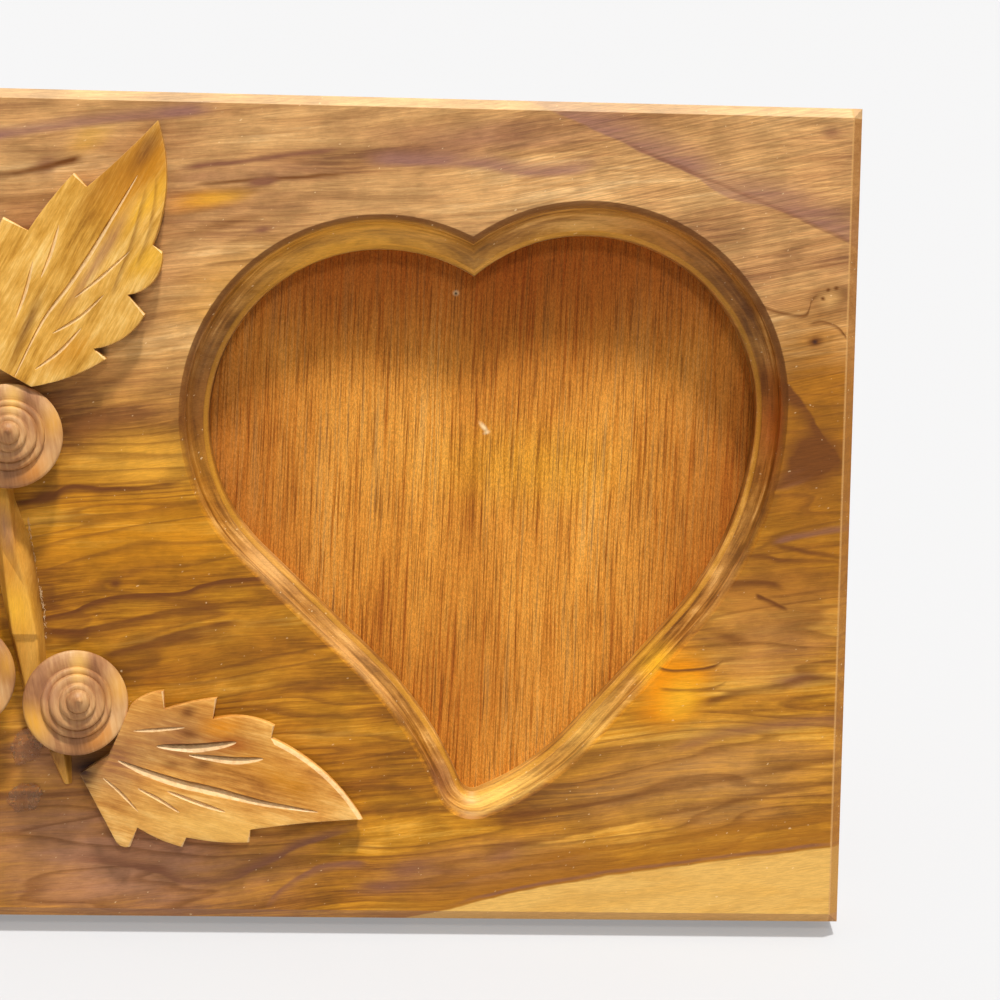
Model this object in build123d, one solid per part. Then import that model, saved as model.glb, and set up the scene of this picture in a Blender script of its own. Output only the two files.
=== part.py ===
from build123d import *
import os
from math import acos, atan2, cos, degrees, hypot, radians, sin

# A leaning wooden photo frame: a chamfered plank with a moulded heart opening, a carved spray of
# leaves and turned rosettes glued to its face, a plywood back held by turn buttons, and a hinged strut.
# Millimetres and degrees. Everything is drawn on the upright board first: X runs to the right, Y to the
# back with the front face at 0, and Z up from the bottom edge. The whole part is leaned back at the end.

# Board: its outline leaves these margins round the rebate behind the heart, and beside the spray
RIGHT_MARGIN = 14.1
TOP_MARGIN = 21.95
BOTTOM_MARGIN = 21.0
SPRAY_TO_REBATE = 34.8
SPRAY_TO_LEFT_EDGE = 97.3
SPRAY_RISE = 15.8
BOARD_THICKNESS = 16.0
EDGE_CHAMFER = 2.2
LEAN = 14.5

# Heart opening, measured at its sight edge where the backing shows
LOBE_RADIUS = 38.0
LOBE_SPACING = 44.8
LOBE_RISE = 3.9
TIP_RADIUS = 3.0
TIP_SHIFT = -0.9
TIP_DROP = 81.1
SHOULDER_RADIUS = 70.0
TOE_RADIUS = 56.0
TOE_ANGLE = -68.0
LEFT_FLANK = 33.6
HOLLOW_ANGLE = -157.0

# Moulding round the heart, from the front face inwards, and how much higher than the sight edge it sits
RIM_BEVEL = 1.4
COVE_RADIUS = 4.6
LIP_EASE = 1.2
MOULDING_RISE = 1.3

# Rebate and backing panel
PANEL_THICKNESS = 3.6
PANEL_DROP = 0.4
PANEL_CLEARANCE = 0.4
REBATE_OVERLAP = 6.5
REBATE_CORNER = 6.0

# Turn buttons and their screws
BUTTON_PIVOT_RADIUS = 5.0
BUTTON_NOSE_RADIUS = 3.5
BUTTON_REACH = 14.0
BUTTON_THICKNESS = 1.2
BUTTON_SET_BACK = 6.5
BUTTON_SPREAD = 84.0
BUTTON_PLAY = 0.1
BUTTON_SCREW_RADIUS = 1.5
BUTTON_SCREW_LENGTH = 9.0
BUTTON_HEAD_RADIUS = 3.0
BUTTON_HEAD_HEIGHT = 1.6

# Strut hinge
HINGE_WIDTH = 25.0
HINGE_LEAF_LENGTH = 13.0
HINGE_LEAF_THICKNESS = 1.0
HINGE_TOP_MARGIN = 13.3
KNUCKLE_RADIUS = 1.8
KNUCKLE_GAP = 0.15
PIN_RADIUS = 0.9
HINGE_SCREW_PITCH = 13.0
HINGE_SCREW_DROP = 6.5
HINGE_SCREW_RADIUS = 0.9
HINGE_SCREW_HEAD = 1.9
HINGE_SCREW_LAND = 0.2
FIXED_SCREW_SHORT = 0.4
MOVING_SCREW_LENGTH = 5.5

# Strut
STRUT_OPEN = 25.0
STRUT_THICKNESS = 7.0
STRUT_TOP_WIDTH = 30.0
STRUT_FOOT_WIDTH = 46.0
STRUT_HEEL = 12.0
STOP_GAP = 0.05

# Fits
RUNNING_FIT = 0.05
FIXED_FIT = 0.02
SEAT_GAP = 0.3
CUT_START = 1.0
SCREW_POINT = 1.5
SLOT_WIDTH = 0.5
SLOT_DEPTH = 0.4

# Rosettes: radius of each turned step, and how far its foot and its top rise above the rim
ROSETTE_RADIUS = 11.3
ROSETTE_UNDERSIDE = 5.0
ROSETTE_RIM = 1.1
ROSETTE_NECK = 4.0
ROSETTE_STEPS = ((7.6, 0.8, 1.6), (6.0, 1.9, 2.7), (3.9, 3.0, 3.9), (2.5, 4.2, 4.3))
ROSETTE_TIP = 6.9

# Spray: its origin is the middle of the top rosette. Middle of each rosette from that origin
ROSETTES = {
    "rosette_top": (0.0, 0.0),
    "rosette_lower_right": (14.3, -57.3),
    "rosette_lower_left": (-9.3, -51.8),
}
# The way that each rosette is tipped, and how far
ROSETTE_ANGLES = {
    "rosette_top": (63.0, 13.0),
    "rosette_lower_right": (40.0, 19.0),
    "rosette_lower_left": (135.0, 10.0),
}

# Leaves: along and across shares of the length. A lobe runs through a middle point to a notch, and the
# next tooth stands out from that notch. The last lobe ends at the base.
LEAF_THICKNESS = 5.0
LEAF_CROWN = 120.0
UPPER_OUTER_SIDE = (
    ((0.84, 0.121), (0.633, 0.184), (0.629, 0.222)),
    ((0.540, 0.245), (0.448, 0.192), (0.420, 0.272)),
    ((0.330, 0.255), (0.236, 0.181), (0.228, 0.233)),
    ((0.150, 0.185), (0.012, 0.047), None),
)
UPPER_INNER_SIDE = (
    ((0.81, 0.054), (0.692, 0.095), (0.712, 0.154)),
    ((0.600, 0.178), (0.471, 0.194), (0.470, 0.288)),
    ((0.370, 0.270), (0.250, 0.190), (0.240, 0.245)),
    ((0.150, 0.185), (0.012, 0.047), None),
)
LOWER_TOP_SIDE = (
    ((0.793, 0.144), (0.623, 0.196), (0.623, 0.240)),
    ((0.522, 0.246), (0.413, 0.210), (0.408, 0.283)),
    ((0.342, 0.255), (0.245, 0.200), (0.225, 0.261)),
    ((0.176, 0.236), (0.131, 0.190), None),
)
LOWER_UNDER_SIDE = (
    ((0.804, 0.062), (0.634, 0.128), (0.642, 0.172)),
    ((0.530, 0.200), (0.429, 0.210), (0.424, 0.248)),
    ((0.350, 0.242), (0.258, 0.219), (0.250, 0.293)),
    ((0.175, 0.285), (0.017, 0.130), None),
)
UPPER_LEAF_LENGTH = 64.3
LOWER_LEAF_LENGTH = 63.2
UPPER_BASE_NOTCH = 0.0
LOWER_BASE_NOTCH = 0.10

# Base of each leaf from the spray's origin
LEAVES = {
    "leaf_upper_right": (0.1, 11.2),
    "leaf_upper_left": (-8.9, 7.0),
    "leaf_lower_right": (15.2, -67.3),
    "leaf_lower_left": (-10.2, -61.8),
}
# The way that each leaf points
LEAF_ANGLES = {
    "leaf_upper_right": 61.5,
    "leaf_upper_left": 140.0,
    "leaf_lower_right": -14.0,
    "leaf_lower_left": 194.0,
}

# Stem from the spray's origin: at each height its foot edges, its top edges, and how far its top stays
# below the underside of the rosettes
STEM_SECTIONS = (
    (-6.8, -6.3, -0.7, -4.3, -1.7, 0.8),
    (-13.8, -5.7, 0.4, -3.6, -0.3, 0.5),
    (-25.8, -4.3, 4.6, -1.5, 1.5, 0.0),
    (-40.8, -0.9, 6.6, 0.5, 5.6, 0.4),
    (-55.8, 2.5, 7.9, 3.7, 6.9, 1.0),
)
STEM_FOOT_SECTIONS = (
    (-62.3, 6.5, 11.5, 7.1, 10.7, 1.2),
    (-68.4, 7.8, 12.8, 8.7, 11.7, 1.2),
    (-75.8, 11.2, 13.0, 11.7, 12.5, 3.6),
)

# Derived places
FRONT = Plane(origin=(0, 0, 0), x_dir=(1, 0, 0), z_dir=(0, -1, 0))
BACK_DEPTH = BOARD_THICKNESS
REBATE_DEPTH = PANEL_THICKNESS + PANEL_DROP
PANEL_FRONT = BACK_DEPTH - REBATE_DEPTH
PANEL_BACK = PANEL_FRONT + PANEL_THICKNESS
SIGHT_WIDTH = LOBE_SPACING + 2 * LOBE_RADIUS
SIGHT_HEIGHT = TIP_RADIUS + TIP_DROP + abs(LOBE_RISE) / 2 + LOBE_RADIUS
REBATE_WIDTH = SIGHT_WIDTH + 2 * REBATE_OVERLAP
REBATE_HEIGHT = SIGHT_HEIGHT + 2 * REBATE_OVERLAP
BOARD_WIDTH = SPRAY_TO_LEFT_EDGE + SPRAY_TO_REBATE + REBATE_WIDTH + RIGHT_MARGIN
BOARD_HEIGHT = BOTTOM_MARGIN + REBATE_HEIGHT + TOP_MARGIN
REBATE_X = BOARD_WIDTH / 2 - RIGHT_MARGIN - REBATE_WIDTH / 2
REBATE_Z = BOTTOM_MARGIN + REBATE_HEIGHT / 2
SPRAY_X = SPRAY_TO_LEFT_EDGE - BOARD_WIDTH / 2
SPRAY_Z = BOARD_HEIGHT / 2 + SPRAY_RISE
HEART_X = REBATE_X
HEART_Z = BOTTOM_MARGIN + REBATE_OVERLAP + TIP_RADIUS + TIP_DROP
LEFT_LOBE = (HEART_X - LOBE_SPACING / 2, HEART_Z - LOBE_RISE / 2)
RIGHT_LOBE = (HEART_X + LOBE_SPACING / 2, HEART_Z + LOBE_RISE / 2)
TIP = (HEART_X + TIP_SHIFT, HEART_Z - TIP_DROP)
HINGE_OFFSET = KNUCKLE_RADIUS + SEAT_GAP
HINGE_SCREW_SINK = HINGE_LEAF_THICKNESS - HINGE_SCREW_LAND
PIN_Y = PANEL_BACK + HINGE_OFFSET
PIN_Z = REBATE_Z + REBATE_HEIGHT / 2 - HINGE_TOP_MARGIN
PIN_X = REBATE_X
BUTTON_BACK = BACK_DEPTH + BUTTON_PLAY + BUTTON_THICKNESS


def on_circle(centre, radius, angle):
    """Point of a circle at an angle in degrees."""
    return (centre[0] + radius * cos(radians(angle)), centre[1] + radius * sin(radians(angle)))


def arc(centre, radius, start, end):
    """Arc of a circle between two angles, turning the way that the angles run."""
    points = [on_circle(centre, radius, angle) for angle in (start, (start + end) / 2, end)]
    return ThreePointArc(*points)


def tangent_angle(first, first_radius, second, second_radius, side):
    """Angle of the normal of a line that touches two circles; side is 1 or -1."""
    run = (second[0] - first[0], second[1] - first[1])
    spread = degrees(acos((first_radius - second_radius) / hypot(*run)))
    return degrees(atan2(run[1], run[0])) + side * spread


def hollow_beside(lobe, lobe_radius, flank):
    """Radius of the hollow that touches the tip and leaves a straight flank of a given length to a lobe."""
    away = on_circle((0, 0), 1, HOLLOW_ANGLE)
    run = (lobe[0] - TIP[0], lobe[1] - TIP[1])
    along = run[0] * away[0] + run[1] * away[1]
    rest = lobe_radius**2 + flank**2 - hypot(*run) ** 2 + 2 * TIP_RADIUS * along - TIP_RADIUS**2
    return rest / (2 * (TIP_RADIUS - along - lobe_radius))


def right_petal(grow):
    """Right half of the heart with its own return side, grown outwards by an offset."""
    shoulder = (RIGHT_LOBE[0] + LOBE_RADIUS - SHOULDER_RADIUS, RIGHT_LOBE[1])
    toe = on_circle(TIP, TIP_RADIUS - TOE_RADIUS, TOE_ANGLE)
    flank = tangent_angle(shoulder, SHOULDER_RADIUS, toe, TOE_RADIUS, 1)
    inner = tangent_angle(RIGHT_LOBE, LOBE_RADIUS, TIP, TIP_RADIUS, -1)
    tip_arc = arc(TIP, TIP_RADIUS + grow, inner, TOE_ANGLE)
    toe_arc = arc(toe, TOE_RADIUS + grow, TOE_ANGLE, flank)
    shoulder_arc = arc(shoulder, SHOULDER_RADIUS + grow, flank, 0)
    lobe_arc = arc(RIGHT_LOBE, LOBE_RADIUS + grow, 0, inner + 360)
    flank_line = Line(toe_arc @ 1, shoulder_arc @ 0)
    return_line = Line(lobe_arc @ 1, tip_arc @ 0)
    return make_face([tip_arc, toe_arc, flank_line, shoulder_arc, lobe_arc, return_line])


def left_petal(grow):
    """Left half of the heart, whose flank hollows towards the tip, grown outwards by an offset."""
    hollow_radius = hollow_beside(LEFT_LOBE, LOBE_RADIUS, LEFT_FLANK)
    hollow = on_circle(TIP, TIP_RADIUS + hollow_radius, HOLLOW_ANGLE)
    flank = tangent_angle(LEFT_LOBE, LOBE_RADIUS, hollow, -hollow_radius, -1)
    inner = tangent_angle(LEFT_LOBE, LOBE_RADIUS, TIP, TIP_RADIUS, 1)
    tip_arc = arc(TIP, TIP_RADIUS + grow, HOLLOW_ANGLE, inner)
    lobe_arc = arc(LEFT_LOBE, LOBE_RADIUS + grow, inner, flank + 360)
    hollow_arc = arc(hollow, hollow_radius - grow, flank + 180, HOLLOW_ANGLE + 180)
    return_line = Line(tip_arc @ 1, lobe_arc @ 0)
    flank_line = Line(lobe_arc @ 1, hollow_arc @ 0)
    return make_face([tip_arc, return_line, lobe_arc, flank_line, hollow_arc])


def sunk(petal, grow, depth):
    """Petal sunk to a depth behind the front face, from a start in front of it."""
    return Pos(0, -CUT_START, 0) * extrude(FRONT * petal(grow), -depth - CUT_START)


def floor_edges(cutter):
    """Edges round the deepest face of a cutter."""
    return cutter.faces().sort_by(Axis.Y)[-1].edges()


def heart_cutter(petal):
    """Everything that the moulded opening takes out of the board on one side of the heart."""
    cove_floor = RIM_BEVEL + COVE_RADIUS
    raised = Pos(0, 0, MOULDING_RISE)
    sight = sunk(petal, 0, PANEL_FRONT)
    lip = sunk(petal, LIP_EASE, cove_floor + LIP_EASE)
    lip = chamfer(floor_edges(lip), LIP_EASE)
    cove = sunk(petal, COVE_RADIUS, cove_floor)
    cove = raised * fillet(floor_edges(cove), COVE_RADIUS)
    rim = sunk(petal, COVE_RADIUS + RIM_BEVEL, RIM_BEVEL)
    rim = raised * chamfer(floor_edges(rim), RIM_BEVEL)
    return [sight, lip, cove, rim]


def rebate_block(front, depth, clearance):
    """Rounded block in the rebate, drawn in from its walls by a clearance."""
    outline = RectangleRounded(
        REBATE_WIDTH - 2 * clearance, REBATE_HEIGHT - 2 * clearance, REBATE_CORNER - clearance
    )
    return Pos(0, front, 0) * extrude(FRONT * (Pos(REBATE_X, REBATE_Z) * outline), -depth)


def button_places():
    """Pivot of each turn button with the way that its nose points, 1 for right and -1 for left."""
    reach = REBATE_WIDTH / 2 + BUTTON_SET_BACK
    return [
        (REBATE_X + side * reach, REBATE_Z + level * BUTTON_SPREAD / 2, -side)
        for side in (-1, 1)
        for level in (-1, 1)
    ]


def hinge_screw_places():
    """Across places of the two screws in each hinge leaf."""
    return (PIN_X - HINGE_SCREW_PITCH / 2, PIN_X + HINGE_SCREW_PITCH / 2)


def along_y(solid, x, y, z):
    """Solid drawn on +Z from its own origin, laid along +Y from a place."""
    return Pos(x, y, z) * Rot(-90, 0, 0) * solid


def turned(points):
    """Solid of revolution about Z from radius and height pairs that start and end on the axis."""
    return revolve(make_face(Polyline([(r, 0, h) for r, h in points], close=True)), Axis.Z)


def make_front_board():
    """Plank with its chamfer, the moulded heart, the rebate and the pilot holes."""
    board = Pos(0, BOARD_THICKNESS / 2, BOARD_HEIGHT / 2) * Box(BOARD_WIDTH, BOARD_THICKNESS, BOARD_HEIGHT)
    board = chamfer(board.faces().sort_by(Axis.Y)[0].edges(), EDGE_CHAMFER)
    board -= heart_cutter(right_petal) + heart_cutter(left_petal)
    board -= rebate_block(PANEL_FRONT, REBATE_DEPTH, 0)
    pilot_depth = BUTTON_SCREW_LENGTH - BUTTON_THICKNESS - 2 * BUTTON_PLAY + FIXED_FIT
    pilot = Cylinder(BUTTON_SCREW_RADIUS + FIXED_FIT, pilot_depth, align=(Align.CENTER, Align.CENTER, Align.MAX))
    board -= [along_y(pilot, x, BACK_DEPTH, z) for x, z, _ in button_places()]
    return board


def make_backing_panel():
    """Plywood panel with the pilot holes of the hinge's fixed leaf."""
    panel = rebate_block(PANEL_FRONT, PANEL_THICKNESS, PANEL_CLEARANCE)
    depth = PANEL_THICKNESS - FIXED_SCREW_SHORT + FIXED_FIT
    pilot = Cylinder(HINGE_SCREW_RADIUS + FIXED_FIT, depth, align=(Align.CENTER, Align.CENTER, Align.MAX))
    height = PIN_Z - HINGE_SCREW_DROP
    return panel - [along_y(pilot, x, PANEL_BACK, height) for x in hinge_screw_places()]


def make_turn_button(x, z, facing):
    """Flat teardrop plate with its pivot hole, nose over the panel."""
    nose = Pos(facing * BUTTON_REACH, 0) * Circle(BUTTON_NOSE_RADIUS)
    outline = make_hull((Circle(BUTTON_PIVOT_RADIUS) + nose).edges())
    plate = extrude(outline - Circle(BUTTON_SCREW_RADIUS + RUNNING_FIT), BUTTON_THICKNESS)
    return Pos(x, BUTTON_BACK, z) * Rot(90, 0, 0) * plate


def make_turn_button_screws():
    """Four round-headed screws on which the buttons turn."""
    head_foot = BUTTON_BACK + BUTTON_PLAY
    point = SCREW_POINT - BUTTON_SCREW_LENGTH
    shank = [(0, -BUTTON_SCREW_LENGTH), (BUTTON_SCREW_RADIUS, point), (BUTTON_SCREW_RADIUS, 0)]
    crown = [(BUTTON_HEAD_RADIUS, 0), (BUTTON_HEAD_RADIUS, BUTTON_HEAD_HEIGHT / 2)]
    top = [(BUTTON_HEAD_RADIUS - BUTTON_HEAD_HEIGHT / 2, BUTTON_HEAD_HEIGHT), (0, BUTTON_HEAD_HEIGHT)]
    screw = turned(shank + crown + top)
    slot = Pos(0, 0, BUTTON_HEAD_HEIGHT) * Box(2 * BUTTON_HEAD_RADIUS, SLOT_WIDTH, 2 * SLOT_DEPTH)
    screw -= slot
    return [along_y(screw, x, head_foot, z) for x, z, _ in button_places()]


def hinge_screw(length):
    """Countersunk screw pointing down, with its head's face at the origin."""
    points = [
        (0, -length),
        (HINGE_SCREW_RADIUS, SCREW_POINT - length),
        (HINGE_SCREW_RADIUS, -HINGE_SCREW_SINK),
        (HINGE_SCREW_HEAD, 0),
        (0, 0),
    ]
    slot = Box(2 * HINGE_SCREW_HEAD, SLOT_WIDTH, 2 * SLOT_DEPTH)
    return turned(points) - slot


def hinge_leaf(knuckles, fit):
    """Leaf of the hinge at the origin: the pin lies on X, the plate hangs down on the +Y side."""
    near = HINGE_OFFSET - HINGE_LEAF_THICKNESS
    top = -KNUCKLE_RADIUS - SEAT_GAP
    height = HINGE_LEAF_LENGTH + top
    middle = (near + HINGE_OFFSET) / 2
    leaf = Pos(0, middle, top - height / 2) * Box(HINGE_WIDTH, HINGE_LEAF_THICKNESS, height)
    for start, end in knuckles:
        across = (start + end) / 2
        tab = Pos(across, middle, top / 2) * Box(end - start, HINGE_LEAF_THICKNESS, -top)
        barrel = Pos(across, 0, 0) * Rot(0, 90, 0) * Cylinder(KNUCKLE_RADIUS, end - start)
        leaf += [tab, barrel]
    leaf -= Rot(0, 90, 0) * Cylinder(PIN_RADIUS + fit, HINGE_WIDTH)
    sink = [
        (0, -HINGE_LEAF_THICKNESS),
        (HINGE_SCREW_RADIUS + FIXED_FIT, -HINGE_LEAF_THICKNESS),
        (HINGE_SCREW_RADIUS + FIXED_FIT, -HINGE_SCREW_SINK),
        (HINGE_SCREW_HEAD + FIXED_FIT, 0),
        (0, 0),
    ]
    for side in (-1, 1):
        hole = Rot(90, 0, 0) * turned(sink)
        leaf -= Pos(side * HINGE_SCREW_PITCH / 2, near, -HINGE_SCREW_DROP) * hole
    return leaf


def knuckle_spans():
    """Across spans of the three knuckles, left, middle and right."""
    third = HINGE_WIDTH / 3
    half = HINGE_WIDTH / 2
    inner = third / 2
    return (-half, -inner - KNUCKLE_GAP), (-inner, inner), (inner + KNUCKLE_GAP, half)


def make_strut():
    """Tapered leg, folded against the panel: heel above the pin, foot cut level with the table."""
    past_upright = radians(STRUT_OPEN - LEAN)
    opened = radians(STRUT_OPEN)
    pin_height = PIN_Z * cos(radians(LEAN)) - (PIN_Y - BACK_DEPTH) * sin(radians(LEAN))
    near = HINGE_OFFSET
    far = HINGE_OFFSET + STRUT_THICKNESS
    foot_near = -(pin_height + near * sin(past_upright)) / cos(past_upright)
    foot_far = -(pin_height + far * sin(past_upright)) / cos(past_upright)
    rest = HINGE_OFFSET - STOP_GAP
    bevel_start = (near * cos(opened) + rest) / sin(opened)
    bevel_end = (STRUT_HEEL * sin(opened) - rest) / cos(opened)
    side = Polyline(
        [(near, foot_near), (near, bevel_start), (bevel_end, STRUT_HEEL), (far, STRUT_HEEL), (far, foot_far)],
        close=True,
    )
    slab = extrude(Plane.YZ * make_face(side), STRUT_FOOT_WIDTH / 2, both=True)
    top, foot = STRUT_TOP_WIDTH / 2, STRUT_FOOT_WIDTH / 2
    plan = Polyline(
        [(-top, STRUT_HEEL), (top, STRUT_HEEL), (foot, foot_far), (-foot, foot_far)], close=True
    )
    strut = slab & extrude(Plane.XZ * make_face(plan), -far)
    pilot = Cylinder(
        HINGE_SCREW_RADIUS + FIXED_FIT,
        MOVING_SCREW_LENGTH - HINGE_LEAF_THICKNESS + FIXED_FIT,
        align=(Align.CENTER, Align.CENTER, Align.MIN),
    )
    for x in (-HINGE_SCREW_PITCH / 2, HINGE_SCREW_PITCH / 2):
        strut -= along_y(pilot, x, near, -HINGE_SCREW_DROP)
    return strut


def at_pin(piece):
    """Piece of the hinge's fixed side, drawn about the pin, turned round to lie on the panel."""
    return Pos(PIN_X, PIN_Y, PIN_Z) * Rot(0, 0, 180) * piece


def opened_at_pin(piece):
    """Piece of the strut, drawn folded about the pin, swung open to its stop."""
    return Pos(PIN_X, PIN_Y, PIN_Z) * Rot(STRUT_OPEN, 0, 0) * piece


def hinge_screws(length):
    """The two screws of one leaf, drawn about the pin with their points towards +Y."""
    near = HINGE_OFFSET - HINGE_LEAF_THICKNESS
    screw = Rot(90, 0, 0) * hinge_screw(length)
    return [Pos(side * HINGE_SCREW_PITCH / 2, near, -HINGE_SCREW_DROP) * screw for side in (-1, 1)]


def on_spray(x, z):
    """Place on the board's face, measured from the spray's origin, with Z standing out of the face."""
    return FRONT.location * Pos(SPRAY_X + x, SPRAY_Z + z, 0)


def make_rosette(x, z, lean_way, tilt):
    """Turned button on its neck, tipped towards one side and cut flat where it sits on the board."""
    rim_top = ROSETTE_UNDERSIDE + ROSETTE_RIM
    points = [
        (0, -ROSETTE_UNDERSIDE),
        (ROSETTE_NECK, -ROSETTE_UNDERSIDE),
        (ROSETTE_NECK, ROSETTE_UNDERSIDE),
        (ROSETTE_RADIUS, ROSETTE_UNDERSIDE),
        (ROSETTE_RADIUS, rim_top),
    ]
    for radius, foot, top in ROSETTE_STEPS:
        points += [(radius, rim_top + foot), (radius, rim_top + top)]
    points.append((0, rim_top + ROSETTE_TIP))
    upright = Pos(0, 0, -ROSETTE_UNDERSIDE) * turned(points)
    tipped = Rot(0, 0, lean_way) * Rot(0, tilt, 0) * upright
    room = 2 * ROSETTE_RADIUS
    over_board = Box(2 * room, 2 * room, room, align=(Align.CENTER, Align.CENTER, Align.MIN))
    rosette = (Pos(0, 0, ROSETTE_UNDERSIDE) * tipped) & over_board
    return on_spray(x, z) * rosette


def leaf_side(length, lobes, way):
    """Edges of one side of a leaf from its tip to its base; way is 1 or -1."""
    edges = []
    start = (length, 0)
    for middle, notch, tooth in lobes:
        middle_point = (middle[0] * length, way * middle[1] * length)
        notch_point = (notch[0] * length, way * notch[1] * length)
        edges.append(ThreePointArc(start, middle_point, notch_point))
        start = notch_point
        if tooth:
            tooth_point = (tooth[0] * length, way * tooth[1] * length)
            edges.append(Line(notch_point, tooth_point))
            start = tooth_point
    return edges, start


def make_leaf(length, left_lobes, right_lobes, base_notch):
    """Leaf along +X from its base, crowned across, standing on the XY plane."""
    left_edges, left_end = leaf_side(length, left_lobes, 1)
    right_edges, right_end = leaf_side(length, right_lobes, -1)
    throat = (base_notch * length, 0)
    closing = [Line(left_end, throat), Line(throat, right_end)]
    blank = extrude(make_face(left_edges + closing + right_edges), LEAF_THICKNESS)
    crown = Cylinder(LEAF_CROWN, 3 * length, rotation=(0, 90, 0))
    return blank & (Pos(0, 0, LEAF_THICKNESS - LEAF_CROWN) * crown)


def place_leaf(leaf, name):
    """Leaf laid on the board from its base, scribed clear of every rosette."""
    placed = on_spray(*LEAVES[name]) * Rot(0, 0, LEAF_ANGLES[name]) * leaf
    room = Cylinder(ROSETTE_RADIUS + SEAT_GAP, 4 * LEAF_THICKNESS)
    return placed - [on_spray(*place) * room for place in ROSETTES.values()]


def make_stem(sections):
    """Whittled length with flat facets, through sections at falling heights."""
    faces = []
    for z, foot_left, foot_right, top_left, top_right, drop in sections:
        top = drop - ROSETTE_UNDERSIDE
        corners = [(foot_left, 0, z), (foot_right, 0, z), (top_right, top, z), (top_left, top, z)]
        faces.append(make_face(Polyline(corners, close=True)))
    return Pos(SPRAY_X, 0, SPRAY_Z) * loft(faces, ruled=True)


def build_parts():
    """Every node of the upright board with its solids."""
    left_knuckle, middle_knuckle, right_knuckle = knuckle_spans()
    upper_leaf = make_leaf(UPPER_LEAF_LENGTH, UPPER_INNER_SIDE, UPPER_OUTER_SIDE, UPPER_BASE_NOTCH)
    upper_mirror = make_leaf(UPPER_LEAF_LENGTH, UPPER_OUTER_SIDE, UPPER_INNER_SIDE, UPPER_BASE_NOTCH)
    lower_leaf = make_leaf(LOWER_LEAF_LENGTH, LOWER_TOP_SIDE, LOWER_UNDER_SIDE, LOWER_BASE_NOTCH)
    lower_mirror = make_leaf(LOWER_LEAF_LENGTH, LOWER_UNDER_SIDE, LOWER_TOP_SIDE, LOWER_BASE_NOTCH)
    fixed_length = HINGE_LEAF_THICKNESS + PANEL_THICKNESS - FIXED_SCREW_SHORT
    pin = Rot(0, 90, 0) * Cylinder(PIN_RADIUS, HINGE_WIDTH)
    nodes = {
        "front_board": [make_front_board()],
        "backing_panel": [make_backing_panel()],
        "leaf_upper_right": [place_leaf(upper_leaf, "leaf_upper_right")],
        "leaf_upper_left": [place_leaf(upper_mirror, "leaf_upper_left")],
        "leaf_lower_right": [place_leaf(lower_leaf, "leaf_lower_right")],
        "leaf_lower_left": [place_leaf(lower_mirror, "leaf_lower_left")],
        "stem_main": [make_stem(STEM_SECTIONS)],
        "stem_foot": [make_stem(STEM_FOOT_SECTIONS)],
        "turn_button_screws": make_turn_button_screws(),
        "easel_strut": [opened_at_pin(make_strut())],
        "hinge_fixed_leaf": [at_pin(hinge_leaf([left_knuckle, right_knuckle], FIXED_FIT))],
        "hinge_moving_leaf": [opened_at_pin(hinge_leaf([middle_knuckle], RUNNING_FIT))],
        "hinge_pin": [at_pin(pin)],
        "hinge_fixed_screws": [at_pin(screw) for screw in hinge_screws(fixed_length)],
        "hinge_moving_screws": [opened_at_pin(screw) for screw in hinge_screws(MOVING_SCREW_LENGTH)],
    }
    for name, place in ROSETTES.items():
        nodes[name] = [make_rosette(*place, *ROSETTE_ANGLES[name])]
    for number, place in enumerate(button_places(), start=1):
        nodes[f"turn_button_{number}"] = [make_turn_button(*place)]
    return nodes


def leaned(nodes):
    """Nodes leaned back on the board's rear bottom edge, with the middle of their footprint at the origin."""
    lean = Rot(-LEAN, 0, 0) * Pos(0, -BACK_DEPTH, 0)
    tipped = {name: [lean * solid for solid in solids] for name, solids in nodes.items()}
    box = Compound([solid for solids in tipped.values() for solid in solids]).bounding_box()
    shift = Pos(-(box.min.X + box.max.X) / 2, -(box.min.Y + box.max.Y) / 2, -box.min.Z)
    return {name: [shift * solid for solid in solids] for name, solids in tipped.items()}, shift * lean


def write_parts(nodes):
    """One file per node."""
    os.makedirs("parts", exist_ok=True)
    for name, solids in nodes.items():
        body = solids[0] if len(solids) == 1 else Compound(solids)
        export_step(body, f"parts/{name}.step")


PARTS, PLACEMENT = leaned(build_parts())
write_parts(PARTS)
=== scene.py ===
"""Looks of a leaning wooden photo frame with a moulded heart opening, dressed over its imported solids."""

import logging
import math
import random
from dataclasses import dataclass, replace
from enum import Enum
from functools import reduce
from typing import ClassVar

import bmesh
import bpy
from mathutils import Matrix, Vector, noise


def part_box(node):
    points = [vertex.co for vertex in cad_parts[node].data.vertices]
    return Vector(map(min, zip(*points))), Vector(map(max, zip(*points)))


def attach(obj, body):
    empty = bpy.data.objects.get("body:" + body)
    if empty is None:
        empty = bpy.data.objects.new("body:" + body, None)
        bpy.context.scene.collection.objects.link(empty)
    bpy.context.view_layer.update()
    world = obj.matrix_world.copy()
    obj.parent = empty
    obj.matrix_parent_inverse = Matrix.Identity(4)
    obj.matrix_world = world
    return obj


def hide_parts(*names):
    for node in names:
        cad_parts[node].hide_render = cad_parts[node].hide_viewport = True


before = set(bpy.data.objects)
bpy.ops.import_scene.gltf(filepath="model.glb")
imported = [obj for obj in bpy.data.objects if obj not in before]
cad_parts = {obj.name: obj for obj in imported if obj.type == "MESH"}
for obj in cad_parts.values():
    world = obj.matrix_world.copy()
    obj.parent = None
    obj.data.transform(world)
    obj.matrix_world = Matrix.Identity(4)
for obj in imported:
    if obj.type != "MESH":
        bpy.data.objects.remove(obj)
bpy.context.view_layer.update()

LOG = logging.getLogger("photo_frame")
MM = 0.001

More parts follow.
